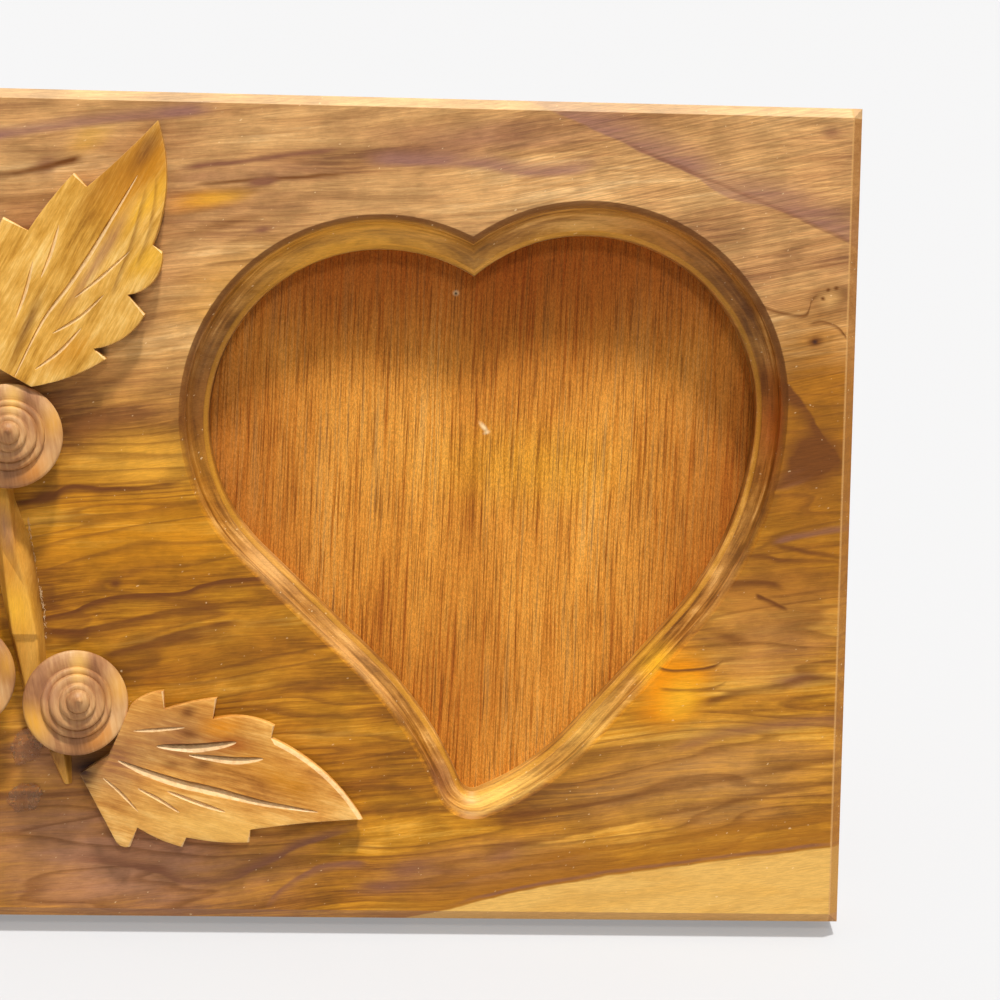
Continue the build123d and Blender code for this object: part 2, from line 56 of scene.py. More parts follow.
Colour = tuple[float, float, float]
Socket = bpy.types.NodeSocket
Value = Socket | float | tuple
Shape = bmesh.types.BMesh
Vert = bmesh.types.BMVert
Edge = bmesh.types.BMEdge
Face = bmesh.types.BMFace


def linear(colour: Colour) -> tuple[float, float, float, float]:
    """Linear red, green, blue and an alpha of one, of a display colour given from 0 to 255."""
    shares = [value / 255.0 for value in colour]
    curve = [s / 12.92 if s <= 0.04045 else ((s + 0.055) / 1.055) ** 2.4 for s in shares]
    return (*curve, 1.0)


def smooth_share(value: float, low: float, high: float) -> float:
    """Share from 0 at low to 1 at high, with eased ends."""
    share = min(1.0, max(0.0, (value - low) / (high - low)))
    return share * share * (3.0 - 2.0 * share)


@dataclass(frozen=True)
class FaceSpace:
    """Millimetre axes on the leaning plank: X right, Y up its front face, Z out of the face.

    The origin is the middle of the plank's bottom edge, on the front face.
    """

    lean_deg: float = 14.5
    height: float = 180.0
    thickness: float = 16.0

    def matrix(self) -> Matrix:
        """Axes as a matrix from face millimetres to the row's metres."""
        lean = math.radians(self.lean_deg)
        low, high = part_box("front_board")
        reach_back = self.thickness * math.cos(lean) + self.height * math.sin(lean)
        rise = self.thickness * math.sin(lean)
        origin = Vector(((low.x + high.x) / 2, high.y - reach_back * MM, low.z + rise * MM))
        turn = Matrix.Rotation(math.pi / 2 - lean, 4, "X")
        return Matrix.Translation(origin) @ turn @ Matrix.Scale(MM, 4)

    def at(self, x: float, up: float, turn_deg: float) -> Matrix:
        """Axes of a piece on the face.

        Args:
            x: Place to the right of the plank's middle.
            up: Place above the bottom edge, along the face.
            turn_deg: Turn of the piece's X axis about the face's normal.

        Returns:
            Matrix from the piece's millimetres to the row's metres.
        """
        turn = Matrix.Rotation(math.radians(turn_deg), 4, "Z")
        return self.matrix() @ Matrix.Translation((x, up, 0.0)) @ turn


class Tone(Enum):
    """Colours of the marks in the woods, as a screen shows them."""

    BARK = (62, 34, 20)
    UMBER = (104, 58, 18)
    PLUM = (128, 82, 56)
    VIOLET = (142, 98, 82)
    RUST = (140, 62, 12)
    MAUVE = (158, 110, 78)
    OLIVE = (150, 94, 22)
    AMBER = (184, 118, 16)
    ORANGE = (216, 132, 8)
    GOLD = (206, 146, 46)
    YELLOW = (226, 168, 40)
    SAND = (200, 150, 88)
    SAPWOOD = (210, 163, 84)
    STRAW = (230, 182, 92)
    CREAM = (244, 216, 166)

    def blots(self, *spots: tuple) -> list["Blot"]:
        """Soft marks of this colour, each from its X, Y, half length, half width, turn and weight."""
        return [Blot(self, *spot) for spot in spots]

    def streak(self, weight: float, above: float, below: float, *path: tuple, fade: float = 0.15) -> "Streak":
        """Growth line of this colour, from its weight, its reach to both sides and its path."""
        return Streak(self, weight, above, below, path, fade)


class Nodes:
    """Node tree that sums, mixes and patterns are added to."""

    def __init__(self, tree: bpy.types.NodeTree) -> None:
        """Starts on an empty or a default tree."""
        self.tree = tree

    def add(self, kind: str, feeds: dict | None = None, **settings: object) -> bpy.types.Node:
        """New node.

        Args:
            kind: Kind of the node, without the prefix that all kinds have.
            feeds: Values of its inputs by name or number.
            settings: Its own settings.

        Returns:
            The node.
        """
        node = self.tree.nodes.new("ShaderNode" + kind)
        for key, value in settings.items():
            setattr(node, key, value)
        for key, value in (feeds or {}).items():
            self.feed(node.inputs[key], value)
        return node

    def feed(self, socket: Socket, value: Value) -> None:
        """Links a socket to another one, or sets its own value."""
        if isinstance(value, Socket):
            self.tree.links.new(value, socket)
        else:
            socket.default_value = value

    def math(self, operation: str, first: Value, second: Value = 0.0) -> Socket:
        """Result of a sum on two numbers."""
        return self.add("Math", {0: first, 1: second}, operation=operation).outputs[0]

    def times(self, *parts: Value) -> Socket:
        """Product of numbers."""
        return reduce(lambda whole, part: self.math("MULTIPLY", whole, part), parts)

    def mixed(self, *parts: tuple) -> Socket:
        """Sum of numbers, each by its own share."""
        shares = [self.times(part, share) for part, share in parts]
        return reduce(lambda whole, part: self.math("ADD", whole, part), shares)

    def apart(self, first: Value, second: Value) -> Socket:
        """Distance between two numbers."""
        return self.math("ABSOLUTE", self.math("SUBTRACT", first, second))

    def vector(self, operation: str, first: Value, second: Value = (0.0, 0.0, 0.0)) -> Socket:
        """Result of a sum on two vectors: a number for a length or a dot product, a vector for others."""
        node = self.add("VectorMath", {0: first, 1: second}, operation=operation)
        return node.outputs["Value" if operation in ("DOT_PRODUCT", "LENGTH") else "Vector"]

    def split(self, where: Value) -> tuple[Socket, ...]:
        """X, Y and Z of coordinates."""
        return tuple(self.add("SeparateXYZ", {"Vector": where}).outputs)

    def spread(
        self, value: Value, low: float, high: float, start: float = 0.0, end: float = 1.0
    ) -> Socket:
        """Number eased from start to end while the value goes from low to high."""
        ends = {"Value": value, "From Min": low, "From Max": high, "To Min": start, "To Max": end}
        return self.add("MapRange", ends, interpolation_type="SMOOTHSTEP").outputs["Result"]

    def blend(self, amount: Value, under: Value, over: Value, mode: str = "MIX") -> Socket:
        """Colour laid over another by an amount from 0 to 1."""
        layers = {0: amount, 6: under, 7: over}
        return self.add("Mix", layers, data_type="RGBA", blend_type=mode).outputs[2]

    def tint(self, amount: Value, under: Value, tone: Tone) -> Socket:
        """Tone laid over a colour by an amount from 0 to 1."""
        return self.blend(amount, under, linear(tone.value))

    def seen(self) -> Socket:
        """One for what the camera, a reflection or clear glue shows, zero for what lights other things."""
        path = self.add("LightPath").outputs
        plain = self.math("MAXIMUM", path["Is Camera Ray"], path["Is Glossy Ray"])
        return self.math("MAXIMUM", plain, path["Is Transmission Ray"])


class Shader(Nodes):
    """Material of one piece, read in millimetres on the piece's own axes."""

    def __init__(self, name: str, axes: Matrix) -> None:
        """Starts a material.

        Args:
            name: Name of the material.
            axes: Matrix from the piece's millimetres to the row's metres.
        """
        self.material = bpy.data.materials.new(name)
        self.material.use_nodes = True
        super().__init__(self.material.node_tree)
        place, turn, size = axes.decompose()
        here = self.add("TexCoord").outputs["Object"]
        feeds = {"Vector": here, "Location": place, "Rotation": turn.to_euler(), "Scale": size}
        self.where = self.add("Mapping", feeds, vector_type="TEXTURE").outputs["Vector"]

    def carved(self, name: str) -> Socket:
        """Amount that the carving left on the faces under a name."""
        return self.add("Attribute", attribute_name=name).outputs["Fac"]

    def stretch(self, where: Value, per_mm: tuple, turn_deg: float = 0.0) -> Socket:
        """Coordinates scaled for a pattern, after a turn about the piece's Z axis.

        Args:
            where: Coordinates in millimetres.
            per_mm: Pattern units for each millimetre along X, Y and Z.
            turn_deg: Angle of the pattern's long way from the X axis.

        Returns:
            Vector socket for a texture.
        """
        feeds = {"Vector": where, "Rotation": (0.0, 0.0, math.radians(turn_deg))}
        turned = self.add("Mapping", feeds, vector_type="TEXTURE").outputs["Vector"]
        return self.vector("MULTIPLY", turned, per_mm)

    def cloud(self, where: Value, detail: float, rough: float = 0.5) -> Socket:
        """Smooth noise from 0 to 1 at coordinates that are already scaled."""
        feeds = {"Vector": where, "Scale": 1.0, "Detail": detail, "Roughness": rough}
        return self.add("TexNoise", feeds).outputs["Fac"]

    def grain(self, where: Value, per_mm: tuple, turn_deg: float, detail: float, rough: float) -> Socket:
        """Smooth noise from 0 to 1 at coordinates in millimetres, which are scaled and turned for it."""
        return self.cloud(self.stretch(where, per_mm, turn_deg), detail, rough)

    def sway(self, where: Value, per_mm: tuple, reach: tuple) -> Socket:
        """Coordinates pushed about by noise.

        Args:
            where: Coordinates in millimetres.
            per_mm: Noise units for each millimetre.
            reach: Farthest push along X, Y and Z, in millimetres.

        Returns:
            The moved coordinates.
        """
        feeds = {"Vector": self.stretch(where, per_mm), "Scale": 1.0, "Detail": 2.0}
        cloud = self.add("TexNoise", feeds).outputs["Color"]
        parts = self.add("SeparateColor", {"Color": cloud}).outputs
        joined = self.add("CombineXYZ", dict(enumerate(parts))).outputs["Vector"]
        middle = self.vector("SUBTRACT", joined, (0.5, 0.5, 0.5))
        return self.vector("ADD", where, self.vector("MULTIPLY", middle, tuple(2.0 * r for r in reach)))

    def ramp(self, value: Value, stops: tuple) -> Socket:
        """Colour that runs through stops, each a place and a display colour."""
        node = self.add("ValToRGB", {"Fac": value})
        points = node.color_ramp.elements
        while len(points) < len(stops):
            points.new(0.5)
        for point, (place, *colour) in zip(points, stops):
            point.position, point.color = place, linear(colour)
        return node.outputs["Color"]

    def shade(self, colour: Value, level: Value) -> Socket:
        """Colour made darker or lighter by a level about one."""
        grey = self.add("CombineColor", {0: level, 1: level, 2: level}).outputs["Color"]
        return self.blend(1.0, colour, grey, "MULTIPLY")

    def marked(self, colour: Value, where: Value, marks: tuple, grain: Value) -> Socket:
        """Colour with marks laid over it one after another, broken up by the grain.

        Args:
            colour: Colour of the plain wood.
            where: Coordinates that the marks are placed in.
            marks: The marks, the lowest first.
            grain: Level about one that strengthens and weakens every mark.

        Returns:
            The marked colour.
        """
        for mark in marks:
            colour = self.tint(self.times(mark.mask(self, where), grain), colour, mark.tone)
        return colour

    def dress(
        self, colour: Value, rough: Value, height: Value | None = None, depth: float = 0.0,
        shine: float = 0.18, others: dict | None = None,
    ) -> bpy.types.Material:
        """Ends the tree with the material's own surface.

        Args:
            colour: Base colour.
            rough: Roughness.
            height: Relief from 0 to 1, if there is any.
            depth: Depth of that relief in millimetres.
            shine: Level of the clear reflection.
            others: Values of the surface's other inputs by name.

        Returns:
            The finished material.
        """
        looks = {"Base Color": colour, "Roughness": rough, "Specular IOR Level": shine, **(others or {})}
        if height is not None:
            relief = {"Strength": 1.0, "Distance": depth * MM, "Height": height}
            looks["Normal"] = self.add("Bump", relief).outputs["Normal"]
        for key, value in looks.items():
            self.feed(self.tree.nodes["Principled BSDF"].inputs[key], value)
        return self.material


@dataclass(frozen=True)
class Blot:
    """Soft oval mark in a wood, in the millimetres of the piece that it lies on.

    Attributes:
        tone: Colour of the mark.
        x: Middle along the piece's X axis.
        y: Middle along the piece's Y axis.
        reach: Half length.
        girth: Half width.
        turn: Turn of the length, in degrees.
        weight: How far the mark covers what is under it.
    """

    tone: Tone
    x: float
    y: float
    reach: float
    girth: float
    turn: float
    weight: float

    def mask(self, shader: Shader, where: Value) -> Socket:
        """Amount of the mark: its weight in the middle, none past its edge."""
        turn = math.radians(self.turn)
        along = Vector((math.cos(turn), math.sin(turn), 0.0)) / self.reach
        across = Vector((-math.sin(turn), math.cos(turn), 0.0)) / self.girth
        offset = shader.vector("SUBTRACT", where, (self.x, self.y, 0.0))
        shares = [shader.vector("DOT_PRODUCT", offset, tuple(way)) for way in (along, across)]
        squares = [shader.times(share, share) for share in shares]
        distance = shader.math("SQRT", shader.math("ADD", *squares))
        return shader.spread(distance, 1.0, 0.0, 0.0, self.weight)


@dataclass(frozen=True)
class Streak:
    """Growth line in a wood: a curve that fades out at its own pace above and below.

    Attributes:
        tone: Colour of the line.
        weight: How far it covers what is under it.
        above: How far the line reaches above the curve.
        below: How far it reaches below.
        path: Places along the curve, from left to right.
        fade: Share of the length over which each end fades.
    """

    tone: Tone
    weight: float
    above: float
    below: float
    path: tuple
    fade: float

    def mask(self, shader: Shader, where: Value) -> Socket:
        """Amount of the line: its weight on the curve, none past its reach."""
        xs, ys = zip(*self.path)
        left, length, low, rise = xs[0], xs[-1] - xs[0], min(ys), max(ys) - min(ys)
        across, up, _ = shader.split(where)
        share = shader.math("DIVIDE", shader.math("SUBTRACT", across, left), length)
        curve = shader.add("FloatCurve", {"Value": share})
        points = curve.mapping.curves[0].points
        spots = [((x - left) / length, (y - low) / rise) for x, y in self.path]
        points[0].location, points[-1].location = spots[0], spots[-1]
        for spot in spots[1:-1]:
            points.new(*spot)
        curve.mapping.update()
        level = shader.math("ADD", shader.times(curve.outputs["Value"], rise), low)
        offset = shader.math("SUBTRACT", up, level)
        upper = shader.spread(offset, self.above, 0.0)
        lower = shader.spread(offset, -self.below, 0.0)
        start = shader.spread(share, 0.0, self.fade)
        end = shader.spread(share, 1.0, 1.0 - self.fade, 0.0, self.weight)
        return shader.times(shader.math("MINIMUM", upper, lower), shader.times(start, end))


LONG_LINE = (
    (-40, 65.6), (-31.6, 67.1), (-23.2, 70.5), (-15.9, 71.5), (-6, 72.1), (-1.9, 73.9), (12, 75.7),
)


@dataclass(frozen=True)
class PlankWood:
    """Figured hardwood of the plank: gold and tan bands, purple-brown streaks, burls and pale sapwood.

    Attributes:
        name: Name of the material.
        gold: Ramp of the lower, golden wood.
        tan: Ramp of the upper, pinker wood.
        cove: Ramp of the wood that the moulding cutter left.
        regions: Broad soft areas of colour.
        lines: Growth lines, knots and stains over them, with painted shadows in the upper right leaf's
            notches, and dark blots beside the stem and below the rosettes that are partly dirt and partly
            painted shade.
        cove_marks_and_painted_light: Pale and dark places along the moulding, with painted light: gold on the
            shaded top of the cove, straw and yellow where its lower part faces up.
        height: Height of the plank's face.
        half_width: Half the plank's width.
        chamfer: Width of the chamfer round the face.
        blur: Half width of the soft change of colour at the chamfer.
        cove_top: Depth at which the cove begins.
        lip: Depth of the middle of the lip's eased edge.
        back: Depth of the plank's back.
        heart_middle: Middle of the moulded opening.
        heart_half: Half its width and half its height, with a margin.
    """

    name: str = "figured_plank"
    gold: tuple = ((0.41, 108, 62, 12), (0.47, 154, 98, 20), (0.53, 184, 124, 28), (0.60, 212, 156, 60))
    tan: tuple = ((0.40, 132, 88, 54), (0.46, 170, 122, 74), (0.54, 194, 146, 90), (0.61, 216, 172, 116))
    cove: tuple = ((0.39, 92, 50, 12), (0.46, 128, 78, 24), (0.54, 158, 106, 44), (0.61, 196, 146, 80))
    regions: tuple = (
        *Tone.AMBER.blots((-13, 84, 40, 15, 2, 0.75)),
        *Tone.OLIVE.blots((0, 57, 40, 16, 6, 0.6), (26, 38, 34, 13, -10, 0.45)),
        *Tone.MAUVE.blots((122, 66, 26, 20, 4, 0.5)),
        *Tone.OLIVE.blots((122, 74, 28, 22, 4, 0.6), (131, 108, 24, 42, 0, 1.3)),
        *Tone.SAND.blots((108, 32, 50, 18, 8, 0.4)),
        *Tone.MAUVE.blots((-20, 14, 56, 22, -2, 1), (-34, 36, 16, 14, 0, 0.6), (60, 12, 36, 9, 8, 0.45)),
        *Tone.GOLD.blots((10, 138, 30, 14, 16, 0.55), (8, 112, 16, 14, 0, 0.5), (-12, 101, 24, 10, 0, 0.8)),
        *Tone.MAUVE.blots((57, 172, 34, 5, 4, 0.6)),
        *Tone.PLUM.blots((-34, 150, 22, 5, 8, 0.5)),
        *Tone.MAUVE.blots((6, 163, 26, 4, 6, 0.45)),
    )
    lines: tuple = (
        *Tone.ORANGE.blots((-3, 157, 13, 3.4, 10, 0.55)),
        *Tone.UMBER.blots((2, 152, 12, 1.8, 14, 0.45), (6, 159.5, 9, 1.4, 8, 0.5)),
        *Tone.YELLOW.blots((-26.5, 170, 8, 4, 30, 0.35)),
        *Tone.PLUM.blots(
            (45, 11.5, 9, 3.4, 10, 0.8), (38, 7.5, 10, 2.6, 4, 0.75), (65, 14.7, 7, 3.6, 24, 0.85),
        ),
        *Tone.UMBER.blots((-20.7, 74, 2, 1.7, 0, 0.95)),
        *Tone.PLUM.blots((-36, 163.5, 4.6, 3, 20, 0.8), (133, 174.5, 3.6, 2.2, 0, 0.6)),
        *Tone.UMBER.blots((130.8, 129.2, 2.6, 2, 20, 0.9)),
        *Tone.BARK.blots((130.8, 129.2, 0.8, 0.7, 20, 0.9)),
        *Tone.UMBER.blots((131, 103.5, 9, 8.5, 30, 1.8)),
        *Tone.PLUM.blots((126.5, 99, 6, 2.4, 24, 0.8)),
        *Tone.UMBER.blots((117, 90, 7, 3.4, 30, 0.75)),
        *Tone.PLUM.blots((128.6, 54.6, 8, 2.4, 8, 0.85)),
        # The second and third blots, beside the stem and below the top rosette, are partly dirt and partly
        # painted shade.
        *Tone.UMBER.blots(
            (114, 64, 7, 2, -16, 0.7), (-35.8, 92.5, 7, 2.8, 16, 0.9), (-38, 63, 6, 5, 0, 0.8),
            (-4, 62, 14, 3, 8, 0.55), (14, 66, 12, 2.4, 4, 0.5), (22, 52, 14, 2.6, -4, 0.5),
            (10, 46.5, 12, 2.4, 6, 0.55),
        ),
        # The first blot darkens the gap below the lower right rosette, partly dirt and partly painted shade;
        # the other two are painted shadows in the notches of the upper right leaf.
        *Tone.BARK.blots(
            (-26.3, 33.5, 7, 5, 0, 1), (-17.4, 136, 2.2, 1.6, 40, 1), (-24, 124.3, 2.2, 1.6, 20, 1),
        ),
        Tone.VIOLET.streak(
            0.7, 9, 0.8, (60, 183), (83, 173.7), (91.6, 169.9), (102.8, 165.2),
            (110.1, 160.8), (119.8, 158.5), (146, 147.5),
        ),
        Tone.PLUM.streak(0.6, 1.2, 0.5, (84, 173), (102.8, 165.2), (119.8, 158.5), (146, 147.5)),
        Tone.VIOLET.streak(0.8, 3.5, 1.8, (30, 166), (54.7, 166.2), (69.9, 164.6), (84, 169.7)),
        Tone.VIOLET.streak(0.9, 2.8, 1.6, (-60, 168), (-45.7, 169.9), (-26.7, 173.1), (2, 176.4)),
        Tone.UMBER.streak(0.55, 1.5, 2, (-50, 156), (-36, 157), (-24, 160.5)),
        Tone.UMBER.streak(0.6, 1.5, 2.5, (-50, 149), (-40, 150), (-28, 154)),
        Tone.UMBER.streak(
            0.75, 0.6, 0.9, (117, 139), (124.6, 135.2), (127.9, 135),
            (129.8, 137.9), (132, 139.5), (138, 139.3),
        ),
        Tone.UMBER.streak(1, 1.2, 6.5, (122, 121.9), (129.4, 114.3), (132.5, 109.1), (138.5, 102)),
        Tone.UMBER.streak(0.9, 4, 1.2, (119, 96.2), (126.2, 98.5), (131, 100.6), (137, 105.5)),
        Tone.PLUM.streak(0.85, 1.6, 1, (122, 84.6), (131.4, 87), (145, 89)),
        Tone.UMBER.streak(0.75, 1, 0.9, (122, 84.6), (131.5, 82.9), (145, 81)),
        Tone.UMBER.streak(
            0.75, 0.7, 1.4, (110, 80.4), (120.9, 82.1), (124.7, 81.3), (131.6, 81.4), (142, 80.4),
        ),
        Tone.UMBER.streak(0.75, 0.8, 1.6, (108, 74), (118.2, 76.3), (126, 75)),
        Tone.UMBER.streak(0.95, 0.6, 1.2, (119, 73.6), (127, 70.2)),
        Tone.UMBER.streak(
            0.7, 1.4, 2, (90, 46), (108.3, 49.3), (118, 52.4), (125.5, 53.3), (132.4, 55), (144, 52),
        ),
        Tone.PLUM.streak(0.6, 3, 1.6, (100, 38), (118, 43), (146, 46)),
        Tone.SAPWOOD.streak(
            0.92, 0.8, 90, (20, -7), (49, 1.3), (77.6, 8.3), (108.6, 13.1), (139.3, 17.2), (190, 23),
        ),
        Tone.OLIVE.streak(
            0.8, 8, 0.5, (20, -6.4), (49, 1.8), (77.6, 8.8), (108.6, 13.6), (139.3, 17.7), (190, 23.5),
        ),
        Tone.PLUM.streak(0.75, 0.7, 0.7, (50, 2.6), (77.6, 9.4), (108.6, 14.2), (146, 19.2)),
        Tone.OLIVE.streak(0.7, 3.2, 0.9, (40, 5), (86.3, 16.2), (121.8, 21.5), (160, 27)),
        Tone.UMBER.streak(0.5, 2.6, 0.8, (50, 12), (95, 23), (160, 36)),
        Tone.UMBER.streak(0.45, 2.4, 1, (54, 20), (100, 29.5), (160, 41)),
        Tone.UMBER.streak(0.8, 0.35, 3, *LONG_LINE, fade=0.04),
        Tone.UMBER.streak(1.2, 0.4, 1, *LONG_LINE, fade=0.04),
        Tone.UMBER.streak(
            0.85, 0.7, 2.8, (-40, 66), (-29.9, 63.4), (-25.4, 64.3), (-19.5, 65.5), (-10, 67.8), (6, 70),
        ),
        Tone.UMBER.streak(0.7, 0.8, 2.6, (-26, 57.6), (-15.8, 60.3), (-5.9, 63.7), (8, 66.6)),
        Tone.UMBER.streak(0.85, 0.6, 2, (-46, 90.4), (-34.1, 93), (-29.6, 95), (-22.8, 94.7), (-4, 96.8)),
        Tone.PLUM.streak(
            0.85, 2.8, 0.8, (-34, 13.4), (-12.6, 11), (-2.8, 8), (11.9, 12.1), (19.5, 16.2), (36, 21.4),
        ),
        Tone.PLUM.streak(0.75, 0.8, 2.2, (12, 2), (19.6, 9.3), (26.3, 12.3), (36, 12.8)),
        Tone.PLUM.streak(0.9, 1.2, 0.9, (-9, 163.5), (6, 165.5), (28, 168.8)),
        Tone.UMBER.streak(0.7, 0.6, 0.8, (-6, 160), (12, 162), (30, 163.4)),
        *Tone.PLUM.blots((10.2, 161.3, 5, 1.6, 10, 1.2), (10.2, 151, 4, 1.2, 10, 0.9)),
        *Tone.YELLOW.blots((0, 157.5, 11, 2.4, 8, 0.45)),
        Tone.UMBER.streak(0.9, 1.2, 1.6, (-50, 161), (-40, 162.5), (-27, 166)),
        Tone.UMBER.streak(0.6, 0.4, 1.2, (-4, 143), (14, 145.6), (34, 150)),
        *Tone.UMBER.blots((133.6, 139, 6, 4.8, 30, 0.9)),
        *Tone.SAND.blots((133.6, 138.6, 4.4, 3.4, 30, 0.8)),
        *Tone.UMBER.blots(
            (135.2, 141, 0.9, 0.7, 30, 1.2), (133.4, 140.6, 0.8, 0.6, 30, 1.2),
            (132.4, 138.6, 0.8, 0.7, 30, 1),
        ),
        Tone.UMBER.streak(0.7, 0.4, 1, (129, 133), (133, 133.6), (138.6, 128)),
        *Tone.ORANGE.blots((101.5, 52.5, 13, 10, 50, 1.5)),
        *Tone.YELLOW.blots((103.5, 50.5, 8, 6, 40, 0.8)),
        Tone.UMBER.streak(0.8, 0.4, 0.9, (95, 58), (104, 56.6), (113, 60)),
        Tone.UMBER.streak(0.7, 0.4, 0.9, (98, 52.6), (106, 52.2), (114, 55)),
    )
    cove_marks_and_painted_light: tuple = (
        # Painted light: gold lifts the top of the cove, which faces down into shade.
        *Tone.GOLD.blots((30, 150, 44, 26, 0, 0.9), (92, 150, 38, 26, 0, 0.5)),
        *Tone.RUST.blots((100, 146, 28, 20, -30, 0.5), (124, 112, 10, 22, 0, 0.9)),
        *Tone.UMBER.blots((-2, 112, 14, 24, 0, 0.9)),
        # Painted highlight: straw and yellow where the lower cove faces up to the light.
        *Tone.STRAW.blots((66, 27, 18, 9, 24, 0.95), (84, 42, 16, 7, 48, 0.6)),
        *Tone.YELLOW.blots((99, 57, 8, 7, 48, 0.95)),
        *Tone.PLUM.blots((50, 31, 6, 8, 0, 0.7)),
        *Tone.SAND.blots((30, 54, 24, 9, -48, 0.9), (12, 76, 16, 8, -60, 0.7)),
        *Tone.OLIVE.blots((0, 98, 8, 14, 0, 0.7)),
        *Tone.SAND.blots((116, 78, 22, 8, 62, 0.35)),
    )
    height: float = 180.0
    half_width: float = 140.0
    chamfer: float = 2.2
    blur: float = 0.1
    cove_top: float = -1.4
    lip: float = -6.6
    back: float = -16.0
    heart_middle: tuple = (59.0, 90.0)
    heart_half: tuple = (76.0, 77.0)

    def material(self, axes: Matrix) -> bpy.types.Material:
        """Material on the plank's face axes."""
        shader = Shader(self.name, axes)
        place = shader.split(shader.where)
        swept = shader.sway(shader.where, (0.012, 0.03, 0.03), (2.0, 4.0, 2.0))
        wavy = shader.sway(swept, (0.05, 0.12, 0.1), (1.0, 0.8, 0.5))
        broad = shader.grain(wavy, (0.012, 0.075, 0.05), 6.0, 5.0, 0.55)
        mottle = shader.grain(wavy, (0.035, 0.18, 0.15), 5.0, 5.0, 0.55)
        fibre = shader.grain(wavy, (0.03, 1.5, 1.2), 5.0, 5.0, 0.7)
        fine = shader.grain(wavy, (0.3, 4.5, 3.0), 5.0, 3.0, 0.7)
        value = shader.mixed((broad, 0.52), (mottle, 0.2), (fibre, 0.28))
        upper = shader.spread(place[1], 92.0, 138.0)
        colour = shader.blend(upper, shader.ramp(value, self.gold), shader.ramp(value, self.tan))
        ruffled = shader.sway(shader.where, (0.14, 0.3, 0.12), (0.6, 0.4, 0.4))
        patchy = shader.spread(mottle, 0.36, 0.62, 1.3, 0.85)
        colour = shader.marked(colour, ruffled, self.regions, patchy)
        colour = self.grown(shader, colour, swept, upper)
        curl = shader.grain(swept, (0.09, 0.14, 0.1), 12.0, 5.0, 0.62)
        colour = shader.shade(colour, shader.spread(curl, 0.36, 0.64, 0.84, 1.14))
        colour = shader.marked(colour, ruffled, self.lines, patchy)
        colour = self.sawn(shader, colour, place)
        colour = self.moulded(shader, colour, place, mottle)
        colour = self.chamfer_tones_and_painted_light(shader, colour, place)
        colour = self.pitted(shader, colour, fine)
        colour = shader.shade(colour, shader.spread(fine, 0.34, 0.66, 0.88, 1.12))
        return shader.dress(colour, shader.spread(mottle, 0.3, 0.7, 0.5, 0.4), fibre, 0.04, 0.16)

    def pitted(self, shader: Shader, colour: Value, fine: Value) -> Socket:
        """Short dark pores along the fibres, and pale specks where the surface is bruised."""
        colour = shader.tint(shader.spread(fine, 0.62, 0.74, 0.0, 0.4), colour, Tone.UMBER)
        bruise = shader.grain(shader.where, (0.8, 1.5, 1.0), 30.0, 1.0, 0.5)
        return shader.tint(shader.spread(bruise, 0.735, 0.8, 0.0, 0.4), colour, Tone.CREAM)

    def grown(self, shader: Shader, colour: Value, where: Value, upper: Value) -> Socket:
        """Year rings, each one darkening slowly and ending soon after its darkest line."""
        rings, crest = 22.0, 0.88
        figure = shader.grain(where, (0.0055, 0.042, 0.03), 7.0, 3.0, 0.42)
        ring = shader.math("FRACT", shader.times(figure, rings))
        dark = shader.math("MINIMUM", shader.spread(ring, 0.5, crest), shader.spread(ring, 1.0, crest))
        return shader.tint(shader.times(dark, shader.spread(upper, 0.0, 1.0, 0.5, 0.22)), colour, Tone.UMBER)

    def sawn(self, shader: Shader, colour: Value, place: tuple) -> Socket:
        """Straight saw scratches across the upper right of the face."""
        scratch = shader.grain(shader.where, (0.014, 2.6, 0.0), 14.0, 3.0, 0.65)
        area = shader.times(shader.spread(place[0], 30.0, 90.0), shader.spread(place[1], 100.0, 135.0))
        change = shader.times(area, shader.spread(scratch, 0.36, 0.64, -0.2, 0.2))
        return shader.shade(colour, shader.math("ADD", change, 1.0))

    def moulded(self, shader: Shader, colour: Value, place: tuple, mottle: Value) -> Socket:
        """Lines that the cutter left along the moulding, a dark brown band on the upper half of its outer
        edge, and a painted highlight along the lip.
        """
        depth = place[2]
        near = shader.spread(depth, self.back + 0.4, self.back + 1.0)
        for spot, middle, half in zip(place, self.heart_middle, self.heart_half):
            near = shader.times(near, shader.spread(shader.apart(spot, middle), half + 1.0, half))
        inside = shader.times(near, shader.spread(depth, -0.1, self.cove_top, 0.0, 0.85))
        run = shader.sway(shader.where, (0.06, 0.06, 0.3), (0.5, 0.5, 0.5))
        tool = shader.grain(run, (0.04, 0.04, 0.9), 0.0, 5.0, 0.68)
        lines = shader.mixed((tool, 0.65), (mottle, 0.35))
        broken = shader.spread(lines, 0.36, 0.6, 0.5, 1.1)
        # The cove's marks include painted light on its shaded top and lit bottom.
        cove = shader.marked(shader.ramp(lines, self.cove), run, self.cove_marks_and_painted_light, broken)
        cove = shader.shade(cove, shader.spread(tool, 0.36, 0.62, 0.82, 1.12))
        colour = shader.blend(inside, colour, cove)
        upper = shader.spread(place[1], 80.0, 125.0, 0.0, 0.75)
        edge = shader.times(shader.spread(depth, -0.02, -0.2), shader.spread(depth, -1.8, -0.9))
        colour = shader.tint(shader.times(edge, upper, near), colour, Tone.UMBER)
        # Painted highlight: a gold line along the lip's eased edge.
        painted_lip_highlight = shader.spread(shader.apart(depth, self.lip), 0.7, 0.2, 0.0, 0.5)
        return shader.tint(shader.times(painted_lip_highlight, inside), colour, Tone.GOLD)

